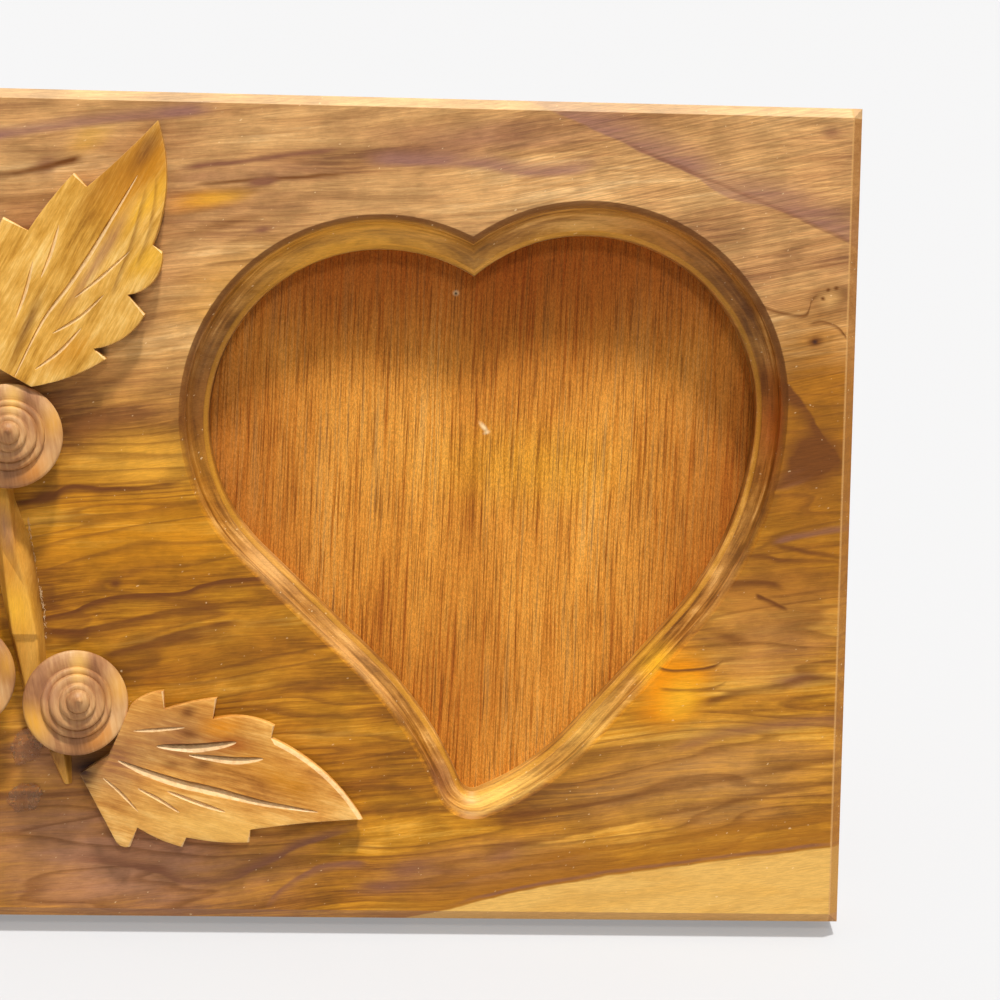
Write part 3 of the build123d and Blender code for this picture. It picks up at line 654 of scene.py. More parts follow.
    def chamfer_tones_and_painted_light(self, shader: Shader, colour: Value, place: tuple) -> Socket:
        """Chamfers: brown at the right, painted light along the top, mauve below, and a painted highlight on
        the right edge.
        """
        side, top = self.half_width - self.chamfer, self.height - self.chamfer
        for spot, line, outward, weight, tone in (
            (place[0], side, self.blur, 0.6, Tone.OLIVE),
            # Painted light: the top chamfer is made paler, as if lit from above.
            (place[1], top, self.blur, 0.25, Tone.CREAM),
            (place[1], self.chamfer, -self.blur, 0.4, Tone.MAUVE),
        ):
            amount = shader.spread(spot, line - outward, line + outward, 0.0, weight)
            colour = shader.tint(amount, colour, tone)
        # Painted highlight: a pale line on the edge between the face and the right chamfer.
        painted_edge_highlight = shader.spread(shader.apart(place[0], side), 0.35, 0.1, 0.0, 0.6)
        return shader.tint(painted_edge_highlight, colour, Tone.SAND)


@dataclass(frozen=True)
class Plywood:
    """Bare reddish plywood with fine upright grain and short dark pores."""

    name: str = "plywood"
    bands: tuple = ((0.38, 150, 82, 24), (0.46, 196, 124, 42), (0.54, 218, 148, 58), (0.64, 236, 176, 90))
    pore: Colour = (104, 48, 10)
    middle: float = 59.0
    grain_turn: float = -1.5
    stains: tuple = (
        *Tone.YELLOW.blots((70, 100, 34, 14, 0, 0.3)),
        *Tone.RUST.blots((60, 50, 30, 26, 0, 0.3)),
    )
    marks: tuple = (
        # Painted highlight: a pale crescent over the dark dot of a brad point.
        *Tone.CREAM.blots((52.5, 138.4, 1, 0.9, 0, 0.6)),
        *Tone.BARK.blots((52.5, 138.3, 0.6, 0.6, 0, 1)),
        *Tone.CREAM.blots((59.2, 108.8, 2.2, 0.8, -50, 0.75), (59.9, 107.6, 1.2, 0.6, 20, 0.6)),
    )

    def material(self, axes: Matrix) -> bpy.types.Material:
        """Material on the plank's face axes."""
        shader = Shader(self.name, axes)
        turn = self.grain_turn
        wavy = shader.sway(shader.where, (0.03, 0.008, 0.05), (1.5, 0.0, 0.0))
        broad = shader.grain(wavy, (0.05, 0.008, 0.2), turn, 4.0, 0.55)
        line = shader.grain(wavy, (1.6, 0.025, 1.0), turn, 4.0, 0.65)
        pore = shader.grain(wavy, (3.0, 0.07, 2.6), turn, 2.0, 0.5)
        nap = shader.grain(wavy, (4.0, 1.6, 3.2), turn, 3.0, 0.8)
        value = shader.mixed((broad, 0.35), (line, 0.65))
        broken = shader.spread(nap, 0.3, 0.7, 0.8, 1.2)
        colour = shader.marked(shader.ramp(value, self.bands), shader.where, self.stains, broken)
        across, up, _ = shader.split(shader.where)
        # Painted shade: darker and redder near the side walls and below the top lip, where shade falls.
        sides = shader.spread(shader.apart(across, self.middle), 20.0, 62.0, 0.0, 0.6)
        plywood_painted_shade = shader.math("MAXIMUM", sides, shader.spread(up, 104.0, 146.0, 0.0, 0.8))
        colour = shader.tint(plywood_painted_shade, colour, Tone.RUST)
        dark = shader.spread(pore, 0.52, 0.68, 0.0, 0.6)
        for amount in (shader.spread(line, 0.53, 0.66, 0.0, 0.55), dark):
            colour = shader.blend(amount, colour, linear(self.pore))
        colour = shader.shade(colour, shader.spread(nap, 0.34, 0.66, 0.74, 1.24))
        colour = shader.marked(colour, shader.where, self.marks, broken)
        return shader.dress(colour, 0.7, shader.math("SUBTRACT", nap, dark), 0.05, 0.1)


@dataclass(frozen=True)
class CarvedWood:
    """Oiled wood of a carved piece, with its grain along the piece."""

    name: str
    bands: tuple
    marks: tuple = ()
    grain_turn: float = 0.0
    fresh: Colour = (230, 194, 142)

    def material(self, axes: Matrix) -> bpy.types.Material:
        """Material on a carved piece's own axes."""
        shader = Shader(self.name, axes)
        turn = self.grain_turn
        wavy = shader.sway(shader.where, (0.05, 0.1, 0.1), (0.8, 0.9, 0.5))
        broad = shader.grain(wavy, (0.03, 0.2, 0.16), turn, 4.0, 0.55)
        mottle = shader.grain(wavy, (0.14, 0.3, 0.2), turn, 5.0, 0.65)
        line = shader.grain(wavy, (0.09, 1.6, 1.0), turn, 5.0, 0.68)
        fine = shader.grain(wavy, (0.6, 4.5, 3.0), turn, 3.0, 0.7)
        colour = shader.ramp(shader.mixed((broad, 0.4), (mottle, 0.3), (line, 0.3)), self.bands)
        colour = shader.marked(colour, wavy, self.marks, shader.spread(line, 0.3, 0.7, 1.2, 0.75))
        chips = shader.grain(shader.where, (0.9, 0.9, 0.9), 0.0, 3.0, 0.6)
        fresh = shader.times(shader.carved("fresh"), shader.spread(chips, 0.3, 0.6, 0.55, 1.0))
        colour = shader.blend(fresh, colour, linear(self.fresh))
        # Painted shade on the steep walls of the deep vein cuts.
        colour = shader.tint(shader.carved("painted_shade"), colour, Tone.BARK)
        colour = shader.shade(colour, shader.spread(fine, 0.34, 0.66, 0.92, 1.08))
        return shader.dress(colour, shader.spread(line, 0.2, 0.8, 0.5, 0.4), line, 0.05)


@dataclass(frozen=True)
class TurnedWood:
    """Lathe-turned wood: straight grain through the piece, with fine rings left by the tool."""

    name: str
    bands: tuple
    marks: tuple
    rings_per_mm: float = 3.5

    def material(self, axes: Matrix) -> bpy.types.Material:
        """Material on a turned piece's own axes, which turn about Z."""
        shader = Shader(self.name, axes)
        wavy = shader.sway(shader.where, (0.08, 0.08, 0.08), (0.8, 0.8, 0.8))
        broad = shader.grain(wavy, (0.12, 0.05, 0.1), 12.0, 4.0, 0.5)
        line = shader.grain(wavy, (1.6, 0.12, 0.6), 12.0, 3.0, 0.6)
        colour = shader.ramp(shader.mixed((broad, 0.8), (line, 0.2)), self.bands)
        colour = shader.marked(colour, wavy, self.marks, shader.spread(line, 0.3, 0.7, 1.15, 0.8))
        radius = shader.vector("LENGTH", shader.vector("MULTIPLY", shader.where, (1.0, 1.0, 0.0)))
        ring = shader.add("CombineXYZ", {"X": shader.times(radius, self.rings_per_mm)}).outputs["Vector"]
        height = shader.math("ADD", shader.cloud(ring, 2.0), shader.times(line, 0.5))
        return shader.dress(colour, shader.spread(line, 0.2, 0.8, 0.52, 0.42), height, 0.06)


@dataclass(frozen=True)
class Metal:
    """Satin metal with fine brushing and a little tarnish."""

    name: str
    bright: Colour
    dull: Colour

    def material(self, axes: Matrix) -> bpy.types.Material:
        """Material on the plank's face axes."""
        shader = Shader(self.name, axes)
        haze = shader.grain(shader.where, (0.22, 0.22, 0.22), 0.0, 4.0, 0.6)
        brushed = shader.grain(shader.where, (0.4, 6.0, 0.4), 20.0, 2.0, 0.5)
        colour = shader.blend(shader.spread(haze, 0.4, 0.7), linear(self.bright), linear(self.dull))
        rough = shader.math("ADD", shader.spread(haze, 0.3, 0.7, 0.24, 0.42), shader.times(brushed, 0.1))
        return shader.dress(colour, rough, brushed, 0.01, others={"Metallic": 1.0})


@dataclass(frozen=True)
class ClearGlue:
    """Dried clear glue with a warm tint."""

    name: str = "dried_glue"
    tints: tuple = ((0.25, 238, 200, 140), (0.75, 252, 230, 190))
    clearness: float = 0.95
    bending: float = 1.33

    def material(self, axes: Matrix) -> bpy.types.Material:
        """Material on a bead's own axes."""
        shader = Shader(self.name, axes)
        lump = shader.grain(shader.where, (0.9, 0.9, 0.9), 0.0, 3.0, 0.5)
        rough = shader.spread(lump, 0.3, 0.7, 0.12, 0.3)
        glass = {"Transmission Weight": self.clearness, "IOR": self.bending}
        return shader.dress(shader.ramp(lump, self.tints), rough, lump, 0.1, others=glass)


def put(name: str, shape: Shape, materials: list) -> bpy.types.Object:
    """Mesh object in the scene.

    Args:
        name: Name of the object and its mesh.
        shape: The object's shape. It is freed.
        materials: Its materials.

    Returns:
        The new object.
    """
    mesh = bpy.data.meshes.new(name)
    shape.to_mesh(mesh)
    shape.free()
    for finish in materials:
        mesh.materials.append(finish)
    made = bpy.data.objects.new(name, mesh)
    bpy.context.scene.collection.objects.link(made)
    return made


def only(parts: list, kind: type) -> list:
    """The parts of a shape that are of one kind."""
    return [part for part in parts if isinstance(part, kind)]


def stroke(shape: Shape, start: Vert, end: Vector) -> Vert:
    """Straight edge from a vertex to a place, and the vertex there."""
    grown = bmesh.ops.extrude_vert_indiv(shape, verts=[start])["verts"][0]
    grown.co = end
    return grown


def trim(shape: Shape, place: tuple, normal: tuple) -> list[Edge]:
    """Cuts off what lies past a plane, and gives the edges of the cut."""
    geom = shape.verts[:] + shape.edges[:] + shape.faces[:]
    cut = bmesh.ops.bisect_plane(shape, geom=geom, plane_co=place, plane_no=normal, clear_outer=True)
    return only(cut["geom_cut"], Edge)


def bevel(shape: Shape, edges: list[Edge], width: float) -> list[Face]:
    """Eases edges by a width, and gives the new faces."""
    made = bmesh.ops.bevel(
        shape, geom=edges, offset=width, offset_type="OFFSET", affect="EDGES",
        segments=2, profile=0.5, material=-1, clamp_overlap=True,
    )
    return made["faces"]


class Numbered(Enum):
    """Kinds of faces or edges, each with its number first."""

    @property
    def number(self) -> int:
        """Number that the faces or edges carry while the piece is carved."""
        return self.value[0]


class Cut(Numbered):
    """How a knife left a face: its number, how much pale fresh-cut colour it takes, and how much painted
    shade it gets.
    """

    PLAIN = (0, 0.0, 0.0)
    # Fresh-cut pale wood; on a vein's gentle wall, which faces up, it is partly a painted highlight.
    FRESH = (1, 0.7, 0.0)
    # Painted shade on the steep wall of a deep vein, which faces down.
    SHADED = (2, 0.0, 0.45)
    WORN = (3, 0.1, 0.0)


class Rim(Numbered):
    """Kinds of a leaf's edge: its number, the width of its bevel, and the cut that it shows."""

    PLAIN = (0, 0.35, Cut.WORN)
    TOOTH = (1, 0.45, Cut.FRESH)
    TRIMMED = (2, 0.85, Cut.FRESH)


def carve(body: Shape, cutter: Shape) -> Shape:
    """Takes a cutter out of a body. The cut faces keep the cutter's numbers.

    Args:
        body: Closed shape. It is freed.
        cutter: Closed shapes. They are freed.

    Returns:
        The carved shape.
    """
    made = []
    for shape in (body, cutter):
        bmesh.ops.recalc_face_normals(shape, faces=shape.faces)
        made.append(put("carving", shape, [None for _ in Cut]))
    knife = made[0].modifiers.new("knife", "BOOLEAN")
    knife.operation = "DIFFERENCE"
    knife.solver = "EXACT"
    knife.use_self = True
    knife.object = made[1]
    carved = made[0].evaluated_get(bpy.context.evaluated_depsgraph_get())
    result = bmesh.new()
    result.from_mesh(carved.to_mesh())
    carved.to_mesh_clear()
    for mesh in [spent.data for spent in made]:
        bpy.data.meshes.remove(mesh)
    return result


@dataclass
class Applied:
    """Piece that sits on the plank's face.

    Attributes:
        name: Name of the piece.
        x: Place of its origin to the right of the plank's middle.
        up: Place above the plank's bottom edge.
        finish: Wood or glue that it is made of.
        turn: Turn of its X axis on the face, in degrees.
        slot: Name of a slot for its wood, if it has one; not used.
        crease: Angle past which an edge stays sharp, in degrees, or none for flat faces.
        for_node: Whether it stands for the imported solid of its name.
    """

    name: str
    x: float
    up: float
    finish: CarvedWood | TurnedWood | ClearGlue
    turn: float
    slot: str | None
    crease: ClassVar[float | None] = 60.0
    for_node: ClassVar[bool] = True

    def shape(self) -> Shape:
        """The piece's shape on its own axes."""
        raise NotImplementedError

    def build(self, space: FaceSpace) -> bpy.types.Object:
        """Models, dresses and places the piece.

        Args:
            space: Axes of the plank's face.

        Returns:
            The piece.
        """
        axes = space.at(self.x, self.up, self.turn)
        shape = self.shape()
        bmesh.ops.transform(shape, matrix=axes, verts=shape.verts)
        bmesh.ops.recalc_face_normals(shape, faces=shape.faces)
        made = put(self.name, shape, [self.finish.material(axes)])
        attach(made, "frame")
        if self.crease:
            made.data.shade_smooth()
            made.data.set_sharp_from_angle(angle=math.radians(self.crease))
        if self.for_node:
            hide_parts(self.name)
        return made


@dataclass(frozen=True)
class Vein:
    """V-cut in a leaf, placed in shares of the leaf's length: along from the base, and left of the axis.

    Attributes:
        path: Places along the cut.
        width: Half width at the widest, in millimetres.
        depth: Depth there, in millimetres.
        steep: 1 where the steep wall is on the left, and -1 where it is on the right.
    """

    path: tuple
    width: float = 0.42
    depth: float = 0.45
    steep: int = 1

    def mirrored(self) -> "Vein":
        """The same cut on the other side of the leaf's axis."""
        return replace(self, path=tuple((u, -v) for u, v in self.path), steep=-self.steep)

    def spot(self, share: float) -> Vector:
        """Place on the smooth line through the path, at a share of its points."""
        last = len(self.path) - 1
        run = share * last
        here = min(int(run), last - 1)
        t = run - here
        before, start, end, after = [Vector(self.path[max(0, min(last, here + i))]) for i in (-1, 0, 1, 2)]
        bend = (before * 2.0 - start * 5.0 + end * 4.0 - after) * t * t
        turn = (start * 3.0 - before - end * 3.0 + after) * t * t * t
        return (start * 2.0 + (end - before) * t + bend + turn) * 0.5

    def cutter(self, shape: Shape, leaf: "Leaf") -> None:
        """Adds the solid that cuts the vein.

        Args:
            shape: Shape that the solid goes to.
            leaf: Leaf that it cuts.
        """
        stations, end_gap, above, foot, nearby = 22, 0.015, 1.7, 0.5, 0.02
        rings = []
        for step in range(stations):
            share = end_gap + (1.0 - 2.0 * end_gap) * step / (stations - 1)
            swell = math.sin(math.pi * share) ** 0.65
            middle = self.spot(share) * leaf.length
            run = self.spot(min(1.0, share + nearby)) - self.spot(max(0.0, share - nearby))
            side = Vector((-run.y, run.x)).normalized()
            bottom = Vector((self.steep * foot * self.width * swell, -self.depth * swell))
            walls = [Vector((way * self.width * swell, 0.0)) for way in (1.0, -1.0)]
            corners = [bottom + (wall - bottom) * above for wall in walls] + [bottom]
            ground = leaf.face_height(middle.x, middle.y)
            ring = []
            for across, rise in corners:
                place = middle + side * across
                ring.append(shape.verts.new((place.x, place.y, ground + rise)))
            rings.append([shape.edges.new((ring[i - 1], ring[i])) for i in range(3)])
        faces = [bmesh.ops.contextual_create(shape, geom=end)["faces"][0] for end in (rings[0], rings[-1])]
        for start, end in zip(rings, rings[1:]):
            faces += bmesh.ops.bridge_loops(shape, edges=start + end)["faces"]
        bmesh.ops.recalc_face_normals(shape, faces=faces)
        whole = Vector(self.path[-1]) - Vector(self.path[0])
        left = Vector((-whole.y, whole.x, 0.0))
        # The steep wall faces down and gets painted shade in deep veins; the gentle wall faces up and gets
        # the pale fresh-cut colour, partly a painted highlight.
        steep_cut = Cut.SHADED if self.depth > leaf.shaded_from else Cut.PLAIN
        for face in faces:
            on_steep = face.normal.dot(left) * self.steep > 0.0
            face.material_index = (steep_cut if on_steep else Cut.FRESH).number


@dataclass
class Leaf(Applied):
    """Carved leaf with toothed lobes, a crowned face, V-cut veins and an undercut edge.

    Attributes:
        length: Length from base to tip.
        notch: Place of the notch at the base, in shares of the length.
        left: Lobes from tip to base on the left: middle, notch and next tooth, in shares of the length.
        right: The same on the right.
        veins: Its cuts.
        trimmed: Side whose tip is trimmed: 1 for left, -1 for right, 0 for none.
        base_cut: Length cut off at the base.
        seed: Seed of the chisel's marks.
    """

    length: float
    notch: float
    left: tuple
    right: tuple
    veins: tuple
    trimmed: int = 0
    base_cut: float = 0.0
    seed: float = 0.0
    crease: ClassVar[float] = 38.0
    thickness: ClassVar[float] = 5.0
    crown: ClassVar[float] = 120.0
    skim: ClassVar[float] = 0.24
    foot_inset: ClassVar[float] = 1.1
    foot_gap: ClassVar[float] = 1.3
    grid: ClassVar[float] = 2.8
    shaded_from: ClassVar[float] = 0.8

    def mirrored(self, name: str, x: float, up: float, turn: float) -> "Leaf":
        """The same leaf turned over for the other side of the spray."""
        veins = tuple(vein.mirrored() for vein in self.veins)
        return replace(
            self, name=name, left=self.right, right=self.left, x=x, up=up, turn=turn,
            veins=veins, trimmed=-self.trimmed, seed=self.seed + 7.0,
        )

    def side(self, shape: Shape, tip: Vert, lobes: tuple, way: int) -> Vert:
        """Draws one toothed side from the tip to the base.

        Args:
            shape: Shape that the edges go to.
            tip: Vertex at the leaf's tip.
            lobes: Lobes of that side.
            way: 1 for the left side and -1 for the right side.

        Returns:
            The last vertex.
        """
        last = tip
        rim = Rim.TRIMMED if way == self.trimmed else Rim.PLAIN
        for lobe in lobes:
            middle, notch, *teeth = [Vector((u, way * v, 0.0)) * self.length for u, v in lobe]
            known = len(shape.edges)
            last = self.arc(shape, last, middle, notch)
            self.name_rim(shape, known, rim)
            rim = Rim.PLAIN
            for tooth in teeth:
                known = len(shape.edges)
                last = stroke(shape, last, tooth)
                self.name_rim(shape, known, Rim.TOOTH)
        return last

    @staticmethod
    def name_rim(shape: Shape, known: int, rim: Rim) -> None:
        """Gives the edges after the known ones their kind."""
        layer = shape.edges.layers.int["rim"]
        shape.edges.ensure_lookup_table()
        for edge in shape.edges[known:]:
            edge[layer] = rim.number

    @staticmethod
    def arc(shape: Shape, start: Vert, middle: Vector, end: Vector) -> Vert:
        """Arc from a vertex through a middle place to an end, and the vertex there."""
        chord_step = 1.3
        a, b, c = start.co.copy(), middle, end
        d = 2.0 * (a.x * (b.y - c.y) + b.x * (c.y - a.y) + c.x * (a.y - b.y))
        p, q, r = [spot.x * spot.x + spot.y * spot.y for spot in (a, b, c)]
        across = (p * (b.y - c.y) + q * (c.y - a.y) + r * (a.y - b.y)) / d
        up = (p * (c.x - b.x) + q * (a.x - c.x) + r * (b.x - a.x)) / d
        centre = Vector((across, up, 0.0))
        first = math.atan2(a.y - centre.y, a.x - centre.x)
        sweep = math.atan2(c.y - centre.y, c.x - centre.x) - first
        turning = (b - a).cross(c - b).z
        if turning > 0.0 and sweep < 0.0:
            sweep += 2.0 * math.pi
        if turning < 0.0 and sweep > 0.0:
            sweep -= 2.0 * math.pi
        steps = max(2, round(abs(sweep) * (a - centre).length / chord_step))
        axis = (0.0, 0.0, 1.0)
        spun = bmesh.ops.spin(shape, geom=[start], cent=centre, axis=axis, angle=sweep, steps=steps)
        last = only(spun["geom_last"], Vert)[0]
        last.co = end
        return last

    def blank(self) -> Shape:
        """Flat outline filled with one face at the height of the leaf's edge."""
        shape = bmesh.new()
        shape.edges.layers.int.new("rim")
        tip = shape.verts.new((self.length, 0.0, 0.0))
        left_end = self.side(shape, tip, self.left, 1)
        right_end = self.side(shape, tip, self.right, -1)
        throat = stroke(shape, left_end, Vector((self.notch * self.length, 0.0, 0.0)))
        shape.edges.new((throat, right_end))
        bmesh.ops.contextual_create(shape, geom=shape.edges[:])
        if self.base_cut > 0.0:
            trim(shape, (self.base_cut, 0.0, 0.0), (-1.0, 0.0, 0.0))
        return shape

    def face_height(self, u: float, v: float) -> float:
        """Height of the leaf's face over the plank, without its veins."""
        share = u / self.length
        crowned = self.thickness - self.skim - v * v / (2.0 * self.crown)
        valley = 0.45 * math.exp(-((v / 2.4) ** 2)) * (1.0 - share)
        droop = 1.5 * smooth_share(share, 0.62, 1.05)
        chisel = 0.22 * noise.noise(Vector((u * 0.09, v * 0.16, self.seed)))
        ripple = 0.07 * noise.noise(Vector((u * 0.3, v * 0.5, self.seed + 3.0)))
        return crowned - valley - droop + chisel + ripple

    def shape(self) -> Shape:
        """The carved leaf."""
        shape = self.blank()
        face = max(shape.faces, key=lambda f: f.calc_area())
        if face.normal.z < 0.0:
            face.normal_flip()
        bmesh.ops.translate(shape, vec=(0.0, 0.0, self.thickness), verts=shape.verts)
        walls = bmesh.ops.extrude_edge_only(shape, edges=shape.edges[:])
        for vert in only(walls["geom"], Vert):
            vert.co.z = self.foot_gap
        self.ease(shape)
        self.refine(shape)
        bmesh.ops.contextual_create(shape, geom=[edge for edge in shape.edges if edge.is_boundary])
        for vert in shape.verts:
            share = smooth_share(vert.co.z, self.foot_gap, self.thickness - Rim.PLAIN.value[1])
            vert.co.z += share * (self.face_height(vert.co.x, vert.co.y) - self.thickness)
        knife = bmesh.new()
        for vein in self.veins:
            vein.cutter(knife, self)
        shape = carve(shape, knife)
        self.foot(shape)
        self.show_cuts(shape)
        return shape

    @staticmethod
    def top(shape: Shape) -> Face:
        """The leaf's face before it is cut into a net."""
        return max(shape.faces, key=lambda f: f.calc_area() * (f.normal.z > 0.5))

    def ease(self, shape: Shape) -> None:
        """Bevels the rim, each kind of edge by its own width."""
        upright = 0.2
        layer = shape.edges.layers.int["rim"]
        bmesh.ops.recalc_face_normals(shape, faces=shape.faces)
        if self.top(shape).normal.z < 0.0:
            bmesh.ops.reverse_faces(shape, faces=shape.faces)
        for number, width, cut in [rim.value for rim in (Rim.TRIMMED, Rim.TOOTH, Rim.PLAIN)]:
            edges = [
                edge for edge in self.top(shape).edges
                if edge[layer] == number and any(abs(face.normal.z) < upright for face in edge.link_faces)
            ]
            for face in bevel(shape, edges, width):
                face.material_index = cut.number
            shape.normal_update()

    @staticmethod
    def show_cuts(shape: Shape) -> None:
        """Turns the faces' numbers into the amounts that the wood's material reads."""
        cuts = {cut.number: cut.value for cut in Cut}
        fresh = shape.faces.layers.float.new("fresh")
        painted_shade = shape.faces.layers.float.new("painted_shade")
        for face in shape.faces:
            _, face[fresh], face[painted_shade] = cuts[face.material_index]
            face.material_index = 0

    def refine(self, shape: Shape) -> None:
        """Cuts the leaf's face into a fine net that the carving can move."""
        top = [self.top(shape)]
        for axis, normal in enumerate((Vector((1.0, 0.0, 0.0)), Vector((0.0, 1.0, 0.0)))):
            places = [vert.co[axis] for vert in shape.verts]
            low, steps = min(places), int((max(places) - min(places)) / self.grid)
            for step in range(1, steps + 1):
                geom = top + list({e for f in top for e in f.edges}) + list({v for f in top for v in f.verts})
                place = normal * (low + step * self.grid)
                cut = bmesh.ops.bisect_plane(shape, geom=geom, plane_co=place, plane_no=normal, dist=1e-4)
                top = only(cut["geom"], Face)
        net = bmesh.ops.triangulate(shape, faces=top)["faces"]
        edges = list({edge for face in net for edge in face.edges})
        bmesh.ops.subdivide_edges(shape, edges=edges, cuts=2, use_grid_fill=True)

    def foot(self, shape: Shape) -> None:
        """Grows a smaller foot from the underside, which stands on the plank."""
        downward, near = -0.9, 0.01
        shape.normal_update()
        bottom = [
            face for face in shape.faces
            if face.normal.z < downward and abs(face.calc_center_median().z - self.foot_gap) < near
        ]
        bmesh.ops.inset_region(shape, faces=bottom, thickness=self.foot_inset, use_even_offset=False)
        for vert in only(bmesh.ops.extrude_face_region(shape, geom=bottom)["geom"], Vert):
            vert.co.z = 0.0
        bmesh.ops.delete(shape, geom=bottom, context="FACES_ONLY")


@dataclass
class Rosette(Applied):
    """Turned, stepped button on a short neck, tipped on the plank.

    Attributes:
        tip_way: Direction in which it is tipped, in degrees.
        tip_deg: Angle by which it is tipped.
        underside: Height of its underside over the plank.
        steps: Steps round it.
        profile: Radius and height along its outline.
    """

    tip_way: float
    tip_deg: float
    underside: ClassVar[float] = 5.0
    steps: ClassVar[int] = 120
    profile: ClassVar[tuple] = (
        (0.0, -4.8), (4.0, -4.8), (4.0, 0.0), (10.6, 0.0), (11.15, 0.25), (11.3, 0.6), (11.2, 0.95),
        (10.8, 1.15), (8.0, 1.7), (7.75, 1.55), (7.6, 1.6), (7.55, 2.3), (7.35, 2.65), (7.0, 2.8),
        (6.4, 2.75), (6.1, 2.6), (6.0, 2.7), (5.95, 3.4), (5.75, 3.75), (5.4, 3.9), (4.4, 3.9),
        (4.05, 3.75), (3.9, 3.85), (3.85, 4.55), (3.65, 4.9), (3.3, 5.05), (2.8, 5.0), (2.55, 4.95),
        (2.5, 5.1), (2.45, 5.5), (2.2, 6.0), (1.7, 6.45), (1.1, 6.75), (0.75, 6.9), (0.6, 7.2),
        (0.35, 7.6), (0.0, 7.75),
    )

    def shape(self) -> Shape:
        """The turned and tipped button, flat where it stands."""
        shape = bmesh.new()
        first, *others = [Vector((radius, 0.0, height)) for radius, height in self.profile]
        reduce(lambda last, place: stroke(shape, last, place), others, shape.verts.new(first))
        bmesh.ops.spin(
            shape, geom=shape.verts[:] + shape.edges[:], cent=(0.0, 0.0, 0.0), axis=(0.0, 0.0, 1.0),
            angle=2.0 * math.pi, steps=self.steps, use_merge=True,
        )
        bmesh.ops.remove_doubles(shape, verts=shape.verts, dist=1e-4)
        way = Matrix.Rotation(math.radians(self.tip_way), 4, "Z")
        tipped = way @ Matrix.Rotation(math.radians(self.tip_deg), 4, "Y") @ way.inverted()
        lifted = Matrix.Translation((0.0, 0.0, self.underside)) @ tipped
        bmesh.ops.transform(shape, matrix=lifted, verts=shape.verts)
        bmesh.ops.contextual_create(shape, geom=trim(shape, (0.0, 0.0, 0.0), (0.0, 0.0, -1.0)))
        return shape


@dataclass
class Stem(Applied):
    """Whittled length of the spray's stem, with flat knife facets.

    Attributes:
        sections: Height, left foot, right foot, and the left and right top corners with their height out.
        creases: Sections from whose left top corner a valley runs down to the right.
        ease: Width of the knife cut along the top corners.
    """

    sections: tuple
    creases: tuple = ()
    crease: ClassVar[float] = 14.0
    ease: ClassVar[float] = 0.4

    def shape(self) -> Shape:
        """The stem through its sections."""
        shape = bmesh.new()
        rings, loops = [], []
        for height, foot_left, foot_right, left, right in self.sections:
            corners = ((foot_left, 0.0), (foot_right, 0.0), right, left)
            rings.append([shape.verts.new((across, height, out)) for across, out in corners])
            loops.append([shape.edges.new((rings[-1][i - 1], rings[-1][i])) for i in range(4)])
        for upper, lower in zip(loops, loops[1:]):
            bmesh.ops.bridge_loops(shape, edges=upper + lower)
        for number in self.creases:
            bmesh.ops.connect_verts(shape, verts=[rings[number][3], rings[number + 1][2]])
        for end in (loops[0], loops[-1]):
            bmesh.ops.contextual_create(shape, geom=end)
        bmesh.ops.recalc_face_normals(shape, faces=shape.faces)
        chains = [{ring[corner] for ring in rings} for corner in (2, 3)]
        crest = [edge for edge in shape.edges if any(set(edge.verts) <= chain for chain in chains)]
        bevel(shape, crest, self.ease)
        bmesh.ops.triangulate(shape, faces=shape.faces)
        return shape


@dataclass
class GlueBead(Applied):
    """Flat lump of clear glue that came out beside the spray and dried on the plank.

    Attributes:
        reach: Half length.
        girth: Half width.
        rise: Height over the plank.
        sunk: Depth by which it goes into the plank.
    """

    reach: float
    girth: float
    for_node: ClassVar[bool] = False
    rise: ClassVar[float] = 0.7
    sunk: ClassVar[float] = 0.05

    def shape(self) -> Shape:
        """The lump, flat where it lies on the plank."""
        shape = bmesh.new()
        bmesh.ops.create_icosphere(shape, subdivisions=5, radius=1.0)
        for vert in shape.verts:
            lump = noise.noise(vert.co * 1.6 + Vector((self.x, self.up, 0.0)))
            wrinkle = noise.noise(vert.co * 5.0 + Vector((self.up, self.x, 0.0)))
            vert.co *= 1.0 + 0.2 * lump + 0.05 * wrinkle
        bmesh.ops.scale(shape, vec=(self.reach, self.girth, self.rise), verts=shape.verts)
        bmesh.ops.contextual_create(shape, geom=trim(shape, (0.0, 0.0, -self.sunk), (0.0, 0.0, -1.0)))
        return shape


